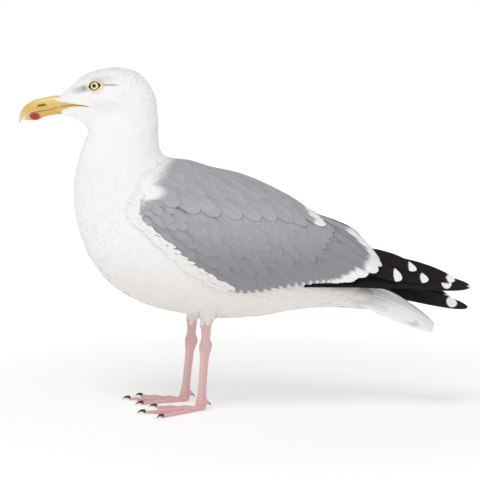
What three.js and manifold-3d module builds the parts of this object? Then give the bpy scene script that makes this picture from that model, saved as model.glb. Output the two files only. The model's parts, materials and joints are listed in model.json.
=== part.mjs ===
// Herring gull, adult, standing at rest. Life size, in millimetres, with +Z up.
// The bird looks along -X, its left side faces -Y, and its soles lie on the floor at z = 0.
// While it is modelled, the plane that halves the bird is y = 0.
import * as THREE from "three";
import { mergeVertices } from "three/addons/utils/BufferGeometryUtils.js";
import Module from "manifold-3d";

const wasm = await Module();
wasm.setup();

// ---------------------------------------------------------------- driving sizes
const GAP = 0.3; // clearance left between neighbouring pieces
const LEFT = -1; // sign of y on the bird's left side
const RIGHT = 1;

const BODY_STEPS = 27; // rings along the body
const BODY_SIDES = 20; // corners of each ring
const BODY_FULLNESS = 2.15; // exponent of the ring's outline: 2 is an ellipse, more is squarer

const WING_LEAD = 5; // thickness of the folded wing over the flank
const WING_EDGE = 1.2; // thickness along its free edges
const RIGHT_WING_DROP = 0.115; // the right hand hangs lower: fall for each mm behind the shoulder
const DROP_START = 20; // x where that fall begins

const EYE = new THREE.Vector3(-175.6, 23.6, 386.5); // centre of the left eyeball, mirrored for the right
const EYE_RADIUS = 7.2;
const RING_RADIUS = 7.5; // outer radius of the bare ring of skin round the eye

const BLADE_THICKNESS = 0.9; // a primary feather with its shaft
const BLADE_SPACING = 1.6;

const TOE_RADIUS = 4.2; // at the root of a toe
const TOE_TIP_RADIUS = 2.7;
const WEB_THICKNESS = 1.6;

const COLOURS = {
  white: { color: 0xf1f0ee, roughness: 0.9, metalness: 0 },
  grey: { color: 0x96939a, roughness: 0.9, metalness: 0 },
  black: { color: 0x1e1919, roughness: 0.8, metalness: 0 },
  horn: { color: 0xdcb85e, roughness: 0.4, metalness: 0 },
  iris: { color: 0xebdf96, roughness: 0.1, metalness: 0 },
  lid: { color: 0x6a4b32, roughness: 0.6, metalness: 0 },
  pink: { color: 0xdcaab0, roughness: 0.6, metalness: 0 },
  claw: { color: 0x46413e, roughness: 0.4, metalness: 0 },
};

// ---------------------------------------------------------------- helpers
const mix = (a, b, t) => a + (b - a) * t;
const smooth = (t) => t * t * (3 - 2 * t);
const clamp01 = (t) => Math.min(1, Math.max(0, t));
const radians = THREE.MathUtils.degToRad;
const point = (x, y, z) => new THREE.Vector3(x, y, z);

// Smooth value along a list of numbers, t from 0 to 1 (Catmull-Rom).
function along(values, t) {
  const place = clamp01(t) * (values.length - 1);
  const i = Math.min(values.length - 2, Math.floor(place));
  const f = place - i;
  const at = (k) => values[Math.min(values.length - 1, Math.max(0, k))];
  const [a, b, c, d] = [at(i - 1), at(i), at(i + 1), at(i + 2)];
  return 0.5 * (2 * b + (c - a) * f + (2 * a - 5 * b + 4 * c - d) * f * f + (3 * b - a - 3 * c + d) * f ** 3);
}

// Closed body through rings of equal count, both ends capped. A ring is an array of points: a round one is
// capped from its middle, and a strip, whose second half runs back under its first, from side to side.
function loft(rings, strip = false) {
  const sides = rings[0].length;
  const vertices = rings.flat().flatMap((p) => [p.x, p.y, p.z]);
  const faces = [];
  for (let r = 0; r + 1 < rings.length; r++) {
    for (let s = 0; s < sides; s++) {
      const a = r * sides + s;
      const b = r * sides + ((s + 1) % sides);
      faces.push(a, b, b + sides, a, b + sides, a + sides);
    }
  }
  for (const [row, turned] of [[0, true], [rings.length - 1, false]]) {
    const face = (a, b, c) => faces.push(...(turned ? [a, c, b] : [a, b, c]));
    const first = row * sides;
    if (strip) {
      const last = first + sides - 1;
      for (let s = 0; s < sides / 2 - 1; s++) {
        face(first + s, first + s + 1, last - s - 1);
        face(first + s, last - s - 1, last - s);
      }
      continue;
    }
    const centre = rings[row].reduce((sum, p) => sum.add(p), point(0, 0, 0)).divideScalar(sides);
    const hub = vertices.length / 3;
    vertices.push(centre.x, centre.y, centre.z);
    for (let s = 0; s < sides; s++) face(hub, first + s, first + ((s + 1) % sides));
  }
  const geometry = new THREE.BufferGeometry();
  geometry.setAttribute("position", new THREE.Float32BufferAttribute(vertices, 3));
  geometry.setIndex(faces);
  return solid(geometry);
}

// A closed geometry as a solid, turned the right way out if its faces point inward.
function solid(geometry) {
  const bare = geometry.clone();
  bare.deleteAttribute("normal");
  bare.deleteAttribute("uv");
  const merged = mergeVertices(bare, 1e-4);
  const position = merged.attributes.position;
  const corner = (i) => new THREE.Vector3().fromBufferAttribute(position, i);
  let faces = [...merged.index.array];
  let volume = 0;
  const kept = [];
  for (let i = 0; i < faces.length; i += 3) {
    const [a, b, c] = [faces[i], faces[i + 1], faces[i + 2]];
    if (a !== b && b !== c && c !== a) kept.push(a, b, c);
    volume += corner(a).dot(corner(b).cross(corner(c)));
  }
  faces = kept;
  if (volume < 0) faces = faces.reverse();
  const mesh = new wasm.Mesh({
    numProp: 3,
    vertProperties: new Float32Array(position.array),
    triVerts: new Uint32Array(faces),
  });
  return new wasm.Manifold(mesh);
}

// The biggest piece of a solid, so that a slip of a cut leaves no crumbs.
function biggest(shape) {
  const pieces = shape.decompose();
  return pieces.reduce((best, piece) => (piece.volume() > best.volume() ? piece : best));
}

const bird = new THREE.Group();

function addPart(name, look, shape) {
  const { vertProperties, triVerts } = biggest(shape).getMesh();
  const geometry = new THREE.BufferGeometry();
  geometry.setAttribute("position", new THREE.Float32BufferAttribute(vertProperties, 3));
  geometry.setIndex([...triVerts]);
  const mesh = new THREE.Mesh(geometry, new THREE.MeshStandardMaterial(COLOURS[look]));
  mesh.name = name;
  bird.add(mesh);
}

const mirrored = (p, side) => point(p.x, Math.abs(p.y) * side, p.z);
const sideName = (side) => (side === LEFT ? "left" : "right");

// ---------------------------------------------------------------- head, neck and trunk
// Each ring crosses the bird from a point on the back line to a point on the belly line, so the rings fan
// round the bend of the neck. `half` is half the ring's width.
const bodyRings = [
  { name: "bill base", back: [-222, 374], belly: [-217, 350], half: 8 },
  { name: "lores", back: [-208, 386], belly: [-207, 347], half: 16 },
  { name: "forehead", back: [-192, 399.5], belly: [-197, 342.5], half: 23 },
  { name: "eyes", back: [-173, 407], belly: [-189.5, 336], half: 27.5 },
  { name: "crown", back: [-150, 409.5], belly: [-187.5, 330.5], half: 30 },
  { name: "hind crown", back: [-126, 403], belly: [-190.5, 324], half: 32 },
  { name: "nape", back: [-108, 381], belly: [-195, 314], half: 34 },
  { name: "upper neck", back: [-102, 351], belly: [-200.5, 298], half: 37 },
  { name: "lower neck", back: [-101.5, 327], belly: [-205.5, 277], half: 42 },
  { name: "shoulders", back: [-96, 307], belly: [-207, 251], half: 50 },
  { name: "upper breast", back: [-74, 297.5], belly: [-202, 217], half: 59 },
  { name: "breast", back: [-42, 286], belly: [-188, 180], half: 65 },
  { name: "mid back", back: [-6, 272], belly: [-163, 148], half: 67 },
  { name: "belly", back: [24, 255], belly: [-127, 126], half: 65 },
  { name: "thighs", back: [48, 232], belly: [-85, 114], half: 60 },
  { name: "lower back", back: [72, 208], belly: [-38, 106.5], half: 51 },
  { name: "rump", back: [94, 184], belly: [14, 109], half: 40 },
  { name: "vent", back: [116, 162], belly: [60, 117], half: 29 },
  { name: "tail coverts", back: [134, 153], belly: [100, 119.5], half: 23 },
  { name: "tail root", back: [149, 146], belly: [134, 117.5], half: 20 },
];

// Point of a ring at an angle from its back point, pushed out by `grow`.
function ringPoint(rings, t, angle, grow = 0) {
  const value = (pick) => along(rings.map(pick), t);
  const back = point(value((r) => r.back[0]), 0, value((r) => r.back[1]));
  const belly = point(value((r) => r.belly[0]), 0, value((r) => r.belly[1]));
  const half = value((r) => r.half);
  const centre = back.clone().add(belly).multiplyScalar(0.5);
  const up = back.clone().sub(centre);
  const rise = up.length();
  const c = Math.cos(angle);
  const s = Math.sin(angle);
  const round = (v) => Math.sign(v) * Math.abs(v) ** (2 / BODY_FULLNESS);
  const place = centre.addScaledVector(up.normalize(), round(c) * (rise + grow));
  place.y = round(s) * (half + grow);
  return place;
}

function bodyShape(grow = 0) {
  const rings = [];
  for (let i = 0; i <= BODY_STEPS; i++) {
    const ring = [];
    for (let k = 0; k < BODY_SIDES; k++) {
      ring.push(ringPoint(bodyRings, i / BODY_STEPS, (2 * Math.PI * k) / BODY_SIDES, grow));
    }
    rings.push(ring);
  }
  return loft(rings);
}

// The plane of a body ring: its normal points towards the tail.
function ringPlane(name) {
  const ring = bodyRings.find((r) => r.name === name);
  const across = point(ring.back[0] - ring.belly[0], 0, ring.back[1] - ring.belly[1]);
  const normal = across.cross(point(0, -1, 0)).normalize();
  if (normal.x < 0 && normal.z > 0) normal.negate();
  return { normal, offset: normal.dot(point(ring.back[0], 0, ring.back[1])) };
}

// ---------------------------------------------------------------- folded wings
// Rings of the wing run from the back line round the flank. `edge` is the angle, in degrees from the back,
// where the wing ends; `half` is half the bird's width over the wings.
const wingRings = [
  { name: "bend", back: [-96, 309], belly: [-207, 250], half: 53, edge: 22 },
  { name: "wrist", back: [-73, 300.5], belly: [-203, 215], half: 63, edge: 67 },
  { name: "front edge", back: [-56, 295.5], belly: [-197, 196], half: 66.5, edge: 90 },
  { name: "lesser coverts", back: [-40, 290.5], belly: [-190, 178], half: 69.5, edge: 95 },
  { name: "mantle", back: [-5, 282.5], belly: [-165, 146], half: 72, edge: 97 },
  { name: "scapulars", back: [28, 269], belly: [-128, 123], half: 70, edge: 102 },
  { name: "greater coverts", back: [56, 254], belly: [-85, 111], half: 65.5, edge: 108 },
  { name: "secondaries", back: [80, 237.5], belly: [-35, 104], half: 58.5, edge: 111 },
  { name: "white trailing edge", back: [104, 227.5], belly: [15, 107], half: 52, edge: 105 },
  { name: "tertial roots", back: [127, 216], belly: [62, 113], half: 46, edge: 98 },
  { name: "tertials", back: [144, 201.5], belly: [98, 118], half: 40.5, edge: 93 },
  { name: "tertial tips", back: [157, 189], belly: [128, 132], half: 35, edge: 84 },
  { name: "last tertial", back: [167, 176], belly: [152, 148], half: 29, edge: 66 },
];
// The wing's two pieces: the stations that each one spans, and its number of steps.
const TERTIALS_FROM = 9 / (wingRings.length - 1);
const SPLIT = 0.0006; // half the cut between them
const wingPieces = [
  { name: "wing", from: 0, to: TERTIALS_FROM - SPLIT, steps: 14 },
  { name: "tertials", from: TERTIALS_FROM + SPLIT, to: 1, steps: 6 },
];
const WING_SIDES = 9; // points across the wing's outer face
const MIDLINE = 0.25; // how far each wing stays from the bird's middle

function dropped(place, side, share) {
  if (side === RIGHT) place.z -= Math.max(0, place.x - DROP_START) * RIGHT_WING_DROP * share;
  return place;
}

// A shell over the flank, its outer face and its inner face joined at the edges.
// `grow` swells it all round, and `outward` lifts its outer face, which makes a cutting tool of it.
function wingShell(side, { from, to, steps }, grow = 0, outward = 0) {
  const rings = [];
  for (let i = 0; i <= steps; i++) {
    const t = mix(from, to, i / steps);
    const edge = radians(along(wingRings.map((r) => r.edge), t));
    const nearTip = smooth(clamp01(Math.min(t * 7, (1 - t) * 5)));
    const ring = [];
    const face = (k, lift) => {
      const share = k / WING_SIDES;
      const place = ringPoint(wingRings, t, edge * share + (grow * share) / 50, lift);
      place.y = Math.max(place.y, MIDLINE - grow) * side;
      return dropped(place, side, smooth(clamp01(share * 2)));
    };
    for (let k = 0; k <= WING_SIDES; k++) ring.push(face(k, grow + outward));
    for (let k = WING_SIDES; k >= 0; k--) {
      const nearEdge = smooth(clamp01((1 - k / WING_SIDES) * 4));
      const thickness = mix(WING_EDGE, WING_LEAD, nearEdge * nearTip);
      ring.push(face(k, -thickness - grow));
    }
    rings.push(ring);
  }
  if (grow > 0) {
    for (const [end, inner] of [[0, 1], [rings.length - 1, rings.length - 2]]) {
      rings[end].forEach((p, k) => p.addScaledVector(p.clone().sub(rings[inner][k]).normalize(), grow));
    }
  }
  return loft(rings, true);
}

// ---------------------------------------------------------------- flight feathers of the hand
// The blades of the folded hand, outermost layer first: x and z of the middle of each where it lies hidden
// under the tertials and of its tip, and its width.
const blades = [
  { number: 6, root: [141, 172], tip: [187, 159.5], width: 21 },
  { number: 7, root: [141, 188], tip: [205, 168.5], width: 17 },
  { number: 8, root: [139, 171], tip: [219, 156.5], width: 21 },
  { number: 9, root: [137, 182], tip: [251, 155], width: 21 },
  { number: 10, root: [131, 159], tip: [270, 147.5], width: 22 },
];
const BLADE_STEPS = 6;
const hand = { from: 140, to: 270, rootY: 29.5, tipY: 12, height: 160, lean: 0.55 };

// How far from the bird's middle the folded hand lies: it closes in towards its tip and towards its top.
function handY(x, z) {
  const t = clamp01((x - hand.from) / (hand.to - hand.from));
  return mix(hand.rootY, hand.tipY, t) - (z - hand.height) * hand.lean;
}

function bladeShape({ root, tip, width }, order, side) {
  const rings = [];
  for (let i = 0; i <= BLADE_STEPS; i++) {
    const t = (i / BLADE_STEPS) ** 0.8;
    const x = mix(root[0], tip[0], t);
    const middle = mix(root[1], tip[1], t) + 2.5 * Math.sin(Math.PI * t);
    const half = (width / 2) * Math.sqrt(Math.max(0.004, 1 - t ** 2.6));
    const ring = [[-1, -0.5], [0, -1], [1, -0.5], [1, 0.5], [0, 1], [-1, 0.5]].map(([up, out]) => {
      const z = middle + up * half;
      const y = handY(x, z) - order * BLADE_SPACING + (out * BLADE_THICKNESS) / 2;
      return dropped(point(x, y * side, z), side, 1);
    });
    rings.push(ring);
  }
  return loft(rings);
}

// ---------------------------------------------------------------- tail
// Stations of the closed tail, a low roof: height of its ridge and of its side edges, half its width, and
// its thickness under the ridge.
const tailStations = [
  { x: 124, ridge: 155, edge: 130, half: 21, thick: 30 },
  { x: 150, ridge: 146, edge: 124, half: 24, thick: 22 },
  { x: 176, ridge: 138, edge: 113, half: 28, thick: 14 },
  { x: 201, ridge: 123.5, edge: 104, half: 32, thick: 8 },
  { x: 218, ridge: 111.5, edge: 100, half: 33, thick: 4.5 },
  { x: 229, ridge: 101.5, edge: 98.5, half: 30, thick: 2.4 },
];
const TAIL_STEPS = 7;
const TAIL_SIDES = 8;
const TAIL_ROUNDNESS = 7; // how much shorter the outer feathers are

function tailShape() {
  const rings = [];
  for (let i = 0; i <= TAIL_STEPS; i++) {
    const t = i / TAIL_STEPS;
    const value = (key) => along(tailStations.map((s) => s[key]), t);
    const place = (share, under) => {
      const slope = Math.abs(share) ** 1.4;
      const top = mix(value("ridge"), value("edge"), slope);
      const depth = mix(value("thick"), 1.2, slope);
      return point(value("x") - TAIL_ROUNDNESS * t * share * share, share * value("half"), under ? top - depth : top);
    };
    const ring = [];
    for (let k = 0; k <= TAIL_SIDES; k++) ring.push(place((2 * k) / TAIL_SIDES - 1, false));
    for (let k = TAIL_SIDES; k >= 0; k--) ring.push(place((2 * k) / TAIL_SIDES - 1, true));
    rings.push(ring);
  }
  return loft(rings, true);
}

// ---------------------------------------------------------------- bill
// Stations from the gape to the tip. `top` and `bottom` are heights, `half` is half the width at the gape
// line; the upper half's last stations curve down over the tip of the lower one.
const upperBill = [
  { x: -204, top: 372, bottom: 364.6, half: 9.5 },
  { x: -214, top: 374.2, bottom: 362.3, half: 8.6 },
  { x: -225, top: 375, bottom: 360.4, half: 7.6 },
  { x: -234, top: 373.6, bottom: 358.7, half: 6.8 },
  { x: -243, top: 371.7, bottom: 357.2, half: 6 },
  { x: -252, top: 369.1, bottom: 356.6, half: 5.1 },
  { x: -259, top: 365.2, bottom: 353.6, half: 4.2 },
  { x: -264.5, top: 360, bottom: 347.5, half: 3.1 },
  { x: -267.8, top: 354.5, bottom: 343.5, half: 2 },
  { x: -268.9, top: 349.5, bottom: 342.6, half: 0.8 },
];
const lowerBill = [
  { x: -204, top: 364.3, bottom: 352.5, half: 9 },
  { x: -214, top: 362, bottom: 352.5, half: 7.6 },
  { x: -225, top: 360.1, bottom: 352.2, half: 6.4 },
  { x: -236, top: 358, bottom: 350.3, half: 5.4 },
  { x: -242.5, top: 356.9, bottom: 347.8, half: 4.8 },
  { x: -247, top: 356.4, bottom: 345.7, half: 4.4 },
  { x: -253, top: 355.8, bottom: 345.4, half: 3.8 },
  { x: -258, top: 353.4, bottom: 345.4, half: 3 },
  { x: -262.5, top: 348.8, bottom: 345.6, half: 1.6 },
];
const BILL_STEPS = 10;
const BILL_SIDES = 8;
const nostril = { x: -241.5, z: 363.6, length: 11, height: 1.8, slope: 0.16 };

// A half of the bill: flat along the gape line and round away from it. sign +1 is the upper half.
function billShape(stations, sign, grow = 0) {
  const value = (t, key) => along(stations.map((s) => s[key]), t);
  const rings = [];
  for (let i = 0; i <= BILL_STEPS; i++) {
    const t = i / BILL_STEPS;
    const [top, bottom] = [value(t, "top") + grow, value(t, "bottom") - grow];
    const half = value(t, "half") + grow;
    const [flat, round] = sign > 0 ? [bottom, top] : [top, bottom];
    const x = value(t, "x") + (i === BILL_STEPS ? -grow : 0) + (i === 0 ? grow : 0);
    const ring = [];
    for (let k = 0; k <= BILL_SIDES; k++) {
      const angle = (Math.PI * k) / BILL_SIDES;
      const height = Math.sin(angle) ** 0.8;
      ring.push(point(x, half * Math.cos(angle), mix(flat, round, height)));
    }
    rings.push(ring);
  }
  return loft(rings);
}

// The nostril: a slit that goes through the bill from side to side.
function nostrilSlit() {
  const radius = nostril.height / 2;
  const reach = nostril.length / 2 - radius;
  const outline = new THREE.Shape();
  outline.absarc(reach, 0, radius, -Math.PI / 2, Math.PI / 2);
  outline.absarc(-reach, 0, radius, Math.PI / 2, (3 * Math.PI) / 2);
  const depth = 30;
  const slit = new THREE.ExtrudeGeometry(outline, { depth, bevelEnabled: false, curveSegments: 4 });
  slit.translate(0, 0, -depth / 2);
  slit.rotateX(Math.PI / 2);
  slit.rotateY(-Math.atan(nostril.slope));
  slit.translate(nostril.x, 0, nostril.z);
  return solid(slit);
}

// ---------------------------------------------------------------- eyes
// Turns a shape made about the z axis so that the axis points out of the eye socket.
function seatEye(geometry, side) {
  const out = point(-0.24, side, 0.1).normalize();
  geometry.applyQuaternion(new THREE.Quaternion().setFromUnitVectors(point(0, 0, 1), out));
  const centre = mirrored(EYE, side);
  geometry.translate(centre.x, centre.y, centre.z);
  return solid(geometry);
}

const eyeball = (side, grow = 0) => seatEye(new THREE.SphereGeometry(EYE_RADIUS + grow, 14, 8), side);

// The ring of bare skin: a collar that lies against the ball.
function eyeRing(side, grow = 0) {
  const [low, high] = [1.5 - grow, 5.2 + grow];
  const ball = EYE_RADIUS + (grow > 0 ? -1 : GAP);
  const profile = [];
  for (const z of [low, mix(low, high, 0.5), high]) {
    profile.push(new THREE.Vector2(Math.sqrt(ball * ball - z * z), z));
  }
  profile.push(new THREE.Vector2(RING_RADIUS - 1 + grow, high));
  profile.push(new THREE.Vector2(RING_RADIUS + 1.2 + grow, low + 1.2));
  profile.push(new THREE.Vector2(RING_RADIUS + 1 + grow, low));
  profile.push(profile[0].clone());
  const collar = new THREE.LatheGeometry(profile, 12);
  collar.rotateX(Math.PI / 2);
  return seatEye(collar, side);
}

// ---------------------------------------------------------------- legs
// Each leg's joints. The toes are numbered as in any bird: 1 is the small hind toe, 2 the inner one.
// `turn` is the toe's direction on the floor in degrees: 0 points forwards, positive away from the midline.
const legs = {
  left: {
    side: LEFT,
    hip: [-44, 27, 132],
    ankle: [-47.5, 27, 77],
    foot: [-52.5, 27, 8],
    toes: { 2: { turn: -13, length: 56 }, 3: { turn: 17, length: 70 }, 4: { turn: 46, length: 64 } },
  },
  right: {
    side: RIGHT,
    hip: [-60, 27, 132],
    ankle: [-66, 27, 75],
    foot: [-73.5, 27, 8],
    toes: { 2: { turn: -24, length: 56 }, 3: { turn: 7, length: 69 }, 4: { turn: 25, length: 60 } },
  },
};
const LEG_SIDES = 10;
const THIGH_END = 15; // the feathered thigh ends this far above the ankle's middle

// A round limb along a line of stations [x, y, z, half length, half width].
function limb(stations, sides, steps = stations.length - 1) {
  const rings = [];
  for (let i = 0; i <= steps; i++) {
    const [x, y, z, deep, wide] = [0, 1, 2, 3, 4].map((k) => along(stations.map((s) => s[k]), i / steps));
    const ring = [];
    for (let k = 0; k < sides; k++) {
      const angle = (2 * Math.PI * k) / sides;
      ring.push(point(x + deep * Math.cos(angle), y + wide * Math.sin(angle), z));
    }
    rings.push(ring);
  }
  return loft(rings);
}

function thighShape({ side, hip, ankle }) {
  const [hx, hy, hz] = hip;
  const [ax, ay, az] = ankle;
  const end = az + THIGH_END;
  return limb(
    [
      [hx + 3, hy * side, hz, 24, 20],
      [mix(hx, ax, 0.35) + 1, hy * side, mix(hz, end, 0.4), 17, 14],
      [mix(hx, ax, 0.7), ay * side, mix(hz, end, 0.75), 9.5, 8],
      [ax + 1, ay * side, end, 5.6, 5],
    ],
    12,
    5,
  );
}

function tarsusShape({ side, ankle, foot }) {
  const [ax, ay, az] = ankle;
  const [fx, fy, fz] = foot;
  const y = ay * side;
  const at = (t, deep, wide) => [mix(ax, fx, t), mix(y, fy * side, t), mix(az, fz, t), deep, wide];
  return limb(
    [
      [ax + 1, y, az + THIGH_END - GAP, 5.2, 4.6],
      [ax + 0.5, y, az + 9, 5.6, 5],
      [ax + 0.5, y, az + 2, 7.8, 6],
      [ax, y, az - 4, 7.2, 5.8],
      at(0.2, 5.4, 4.2),
      at(0.5, 5, 3.6),
      at(0.8, 5, 3.8),
      at(0.95, 6.2, 5),
      at(1, 6.6, 6),
      [fx - 1, fy * side, 2, 6.6, 6.4],
      [fx - 1, fy * side, 0, 5.8, 5.8],
    ],
    LEG_SIDES,
    12,
  );
}

function toeDirection(side, turn) {
  return point(-Math.cos(radians(turn)), side * Math.sin(radians(turn)), 0);
}

const toeRoot = ({ side, foot }) => point(foot[0] - 1, foot[1] * side, 0);

// A toe: a tapering round bar with a flat sole and a swelling at each joint.
function toeShape(leg, { turn, length }, grow = 0) {
  const ahead = toeDirection(leg.side, turn);
  const aside = point(-ahead.y, ahead.x, 0);
  const joints = 3;
  const steps = 6;
  const sides = 8;
  const rings = [];
  for (let i = 0; i <= steps; i++) {
    const t = i / steps;
    const swell = 1 + 0.09 * Math.cos(2 * Math.PI * joints * t);
    const radius = mix(TOE_RADIUS, TOE_TIP_RADIUS, t) * swell + grow;
    const centre = toeRoot(leg).addScaledVector(ahead, length * t + (t === 1 ? grow : 0));
    const ring = [];
    for (let k = 0; k < sides; k++) {
      const angle = Math.PI / 8 + (2 * Math.PI * k) / sides;
      const height = Math.max(-grow, radius * 0.78 * (1 + Math.sin(angle)) - 0.9);
      ring.push(centre.clone().addScaledVector(aside, radius * Math.cos(angle)).setZ(height));
    }
    rings.push(ring);
  }
  return loft(rings);
}

// A claw: a curved spike whose point comes down to the floor.
function clawShape(from, ahead, length, radius) {
  const aside = point(-ahead.y, ahead.x, 0);
  const rings = [];
  const steps = 4;
  for (let i = 0; i <= steps; i++) {
    const t = i / steps;
    const size = Math.max(0.25, radius * (1 - t) ** 0.8);
    const centre = from.clone().addScaledVector(ahead, length * t);
    centre.z += radius * 0.7 * Math.sin(Math.PI * t * 0.9) - (from.z - 0.3) * t * t;
    const ring = [];
    for (let k = 0; k < 6; k++) {
      const angle = (2 * Math.PI * k) / 6;
      const place = centre.clone().addScaledVector(aside, size * 0.8 * Math.cos(angle));
      place.z = Math.max(0, place.z + size * Math.sin(angle));
      ring.push(place);
    }
    rings.push(ring);
  }
  return loft(rings);
}

// A web: a thin flat skin between two toes, its front edge drawn in a little.
function webShape(leg, one, two) {
  const root = toeRoot(leg);
  const reach = 0.93;
  const edge = 8;
  const outline = new THREE.Shape();
  outline.moveTo(root.x, root.y);
  for (let i = 0; i <= edge; i++) {
    const t = i / edge;
    const turn = mix(one.turn, two.turn, t);
    const length = mix(one.length, two.length, t) * reach * (1 - 0.16 * Math.sin(Math.PI * t));
    const place = root.clone().addScaledVector(toeDirection(leg.side, turn), length);
    outline.lineTo(place.x, place.y);
  }
  outline.closePath();
  return solid(new THREE.ExtrudeGeometry(outline, { depth: WEB_THICKNESS, bevelEnabled: false }));
}

function addLeg(name, leg) {
  const { side, foot, toes } = leg;
  addPart(`thigh_${name}`, "white", thighShape(leg).subtract(bodyWithGap));
  const tarsus = tarsusShape(leg);
  const bases = {};
  const swollen = {};
  for (const number of [2, 3, 4]) {
    bases[number] = toeShape(leg, toes[number]);
    swollen[number] = toeShape(leg, toes[number], GAP);
  }
  // The toes fan from one point, so each is cut clear of the shank and of the toe before it.
  const shank = tarsusShapeSwollen(leg);
  const taken = [shank];
  for (const number of [3, 2, 4]) {
    const shape = taken.reduce((rest, other) => rest.subtract(other), bases[number]);
    addPart(`toe_${number}_${name}`, "pink", shape);
    taken.push(swollen[number]);
    const { turn, length } = toes[number];
    const ahead = toeDirection(side, turn);
    const start = toeRoot(leg).addScaledVector(ahead, length + GAP).setZ(2.4);
    addPart(`claw_${number}_${name}`, "claw", clawShape(start, ahead, 9, 2));
  }
  const clear = (shape) => taken.reduce((rest, other) => rest.subtract(other), shape);
  addPart(`web_inner_${name}`, "pink", clear(webShape(leg, toes[2], toes[3])));
  addPart(`web_outer_${name}`, "pink", clear(webShape(leg, toes[3], toes[4])));
  // The hind toe sits a little above the ground, at the back of the shank.
  const [fx, fy, fz] = foot;
  const hind = limb(
    [
      [fx + 2, fy * side, fz + 8, 3, 2.4],
      [fx + 5, fy * side, fz + 4.5, 2.9, 2.4],
      [fx + 8.5, fy * side, fz + 0.5, 2.2, 2],
    ],
    8,
    4,
  );
  addPart(`toe_1_${name}`, "pink", hind.subtract(shank));
  const hindClaw = limb(
    [
      [fx + 8.7, fy * side, fz + 0.5 - GAP, 1.9, 1.5],
      [fx + 10.6, fy * side, fz - 2.2, 1.3, 1],
      [fx + 11.2, fy * side, fz - 4.5, 0.4, 0.4],
    ],
    6,
    3,
  );
  addPart(`claw_1_${name}`, "claw", hindClaw);
  addPart(`tarsus_${name}`, "pink", tarsus);
}

function tarsusShapeSwollen(leg) {
  const { ankle, foot } = leg;
  return tarsusShape(leg).add(
    limb(
      [
        [mix(ankle[0], foot[0], 0.75), foot[1] * leg.side, mix(ankle[2], foot[2], 0.75), 5 + GAP, 4 + GAP],
        [foot[0], foot[1] * leg.side, foot[2] + 2, 6.6 + GAP, 6 + GAP],
        [foot[0] - 1, foot[1] * leg.side, 2, 6.7 + GAP, 6.7 + GAP],
        [foot[0] - 1, foot[1] * leg.side, -1, 6.7 + GAP, 6.7 + GAP],
      ],
      LEG_SIDES,
      8,
    ),
  );
}

// ---------------------------------------------------------------- assembly
let body = bodyShape();
const bodyWithGap = bodyShape(GAP);

for (const side of [LEFT, RIGHT]) {
  const name = sideName(side);
  for (const piece of wingPieces) {
    addPart(`${piece.name}_${name}`, "grey", wingShell(side, piece));
    body = body.subtract(wingShell(side, piece, GAP, 30));
  }
  const covered = wasm.Manifold.union(wingPieces.map((piece) => wingShell(side, piece, GAP)));
  blades.forEach((blade, order) => {
    addPart(`primary_${blade.number}_${name}`, "black", bladeShape(blade, order, side).subtract(covered));
  });
}

const tailPlane = ringPlane("tail root");
addPart("tail", "white", tailShape().trimByPlane(tailPlane.normal.toArray(), tailPlane.offset + GAP));

for (const side of [LEFT, RIGHT]) {
  body = body.subtract(eyeball(side, GAP)).subtract(eyeRing(side, GAP));
  addPart(`eye_${sideName(side)}`, "iris", eyeball(side));
  addPart(`eye_ring_${sideName(side)}`, "lid", eyeRing(side));
}

addPart("bill_upper", "horn", billShape(upperBill, 1).subtract(nostrilSlit()));
addPart("bill_lower", "horn", billShape(lowerBill, -1));
body = body.subtract(billShape(upperBill, 1, GAP)).subtract(billShape(lowerBill, -1, GAP));

const neckTop = ringPlane("nape");
const neckBase = ringPlane("shoulders");
const [pastHead, head] = body.splitByPlane(neckTop.normal.toArray(), neckTop.offset);
const fromNeck = pastHead.trimByPlane(neckTop.normal.toArray(), neckTop.offset + GAP);
const [trunkPart, neck] = fromNeck.splitByPlane(neckBase.normal.toArray(), neckBase.offset);
addPart("head", "white", head);
addPart("neck", "white", neck);
addPart("trunk", "white", trunkPart.trimByPlane(neckBase.normal.toArray(), neckBase.offset + GAP));

addLeg("left", legs.left);
addLeg("right", legs.right);

// The finished bird is centred on its origin, standing on it.
const box = new THREE.Box3().setFromObject(bird);
bird.position.set(-(box.min.x + box.max.x) / 2, -(box.min.y + box.max.y) / 2, -box.min.z);
bird.updateMatrixWorld(true);

export default bird;
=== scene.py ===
# %% [markdown]
# # A herring gull, feather by feather
# This lesson dresses a plain solid gull in skin, feathers, horn and scales. The solid gull is loaded as a
# fixed frame. It stays hidden under the new pieces, and every size below comes from it or from a real bird.

# %% Load the frame
import json
import math
import bpy
import bmesh
import numpy as np
from mathutils import Matrix, Vector
from mathutils.kdtree import KDTree

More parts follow.
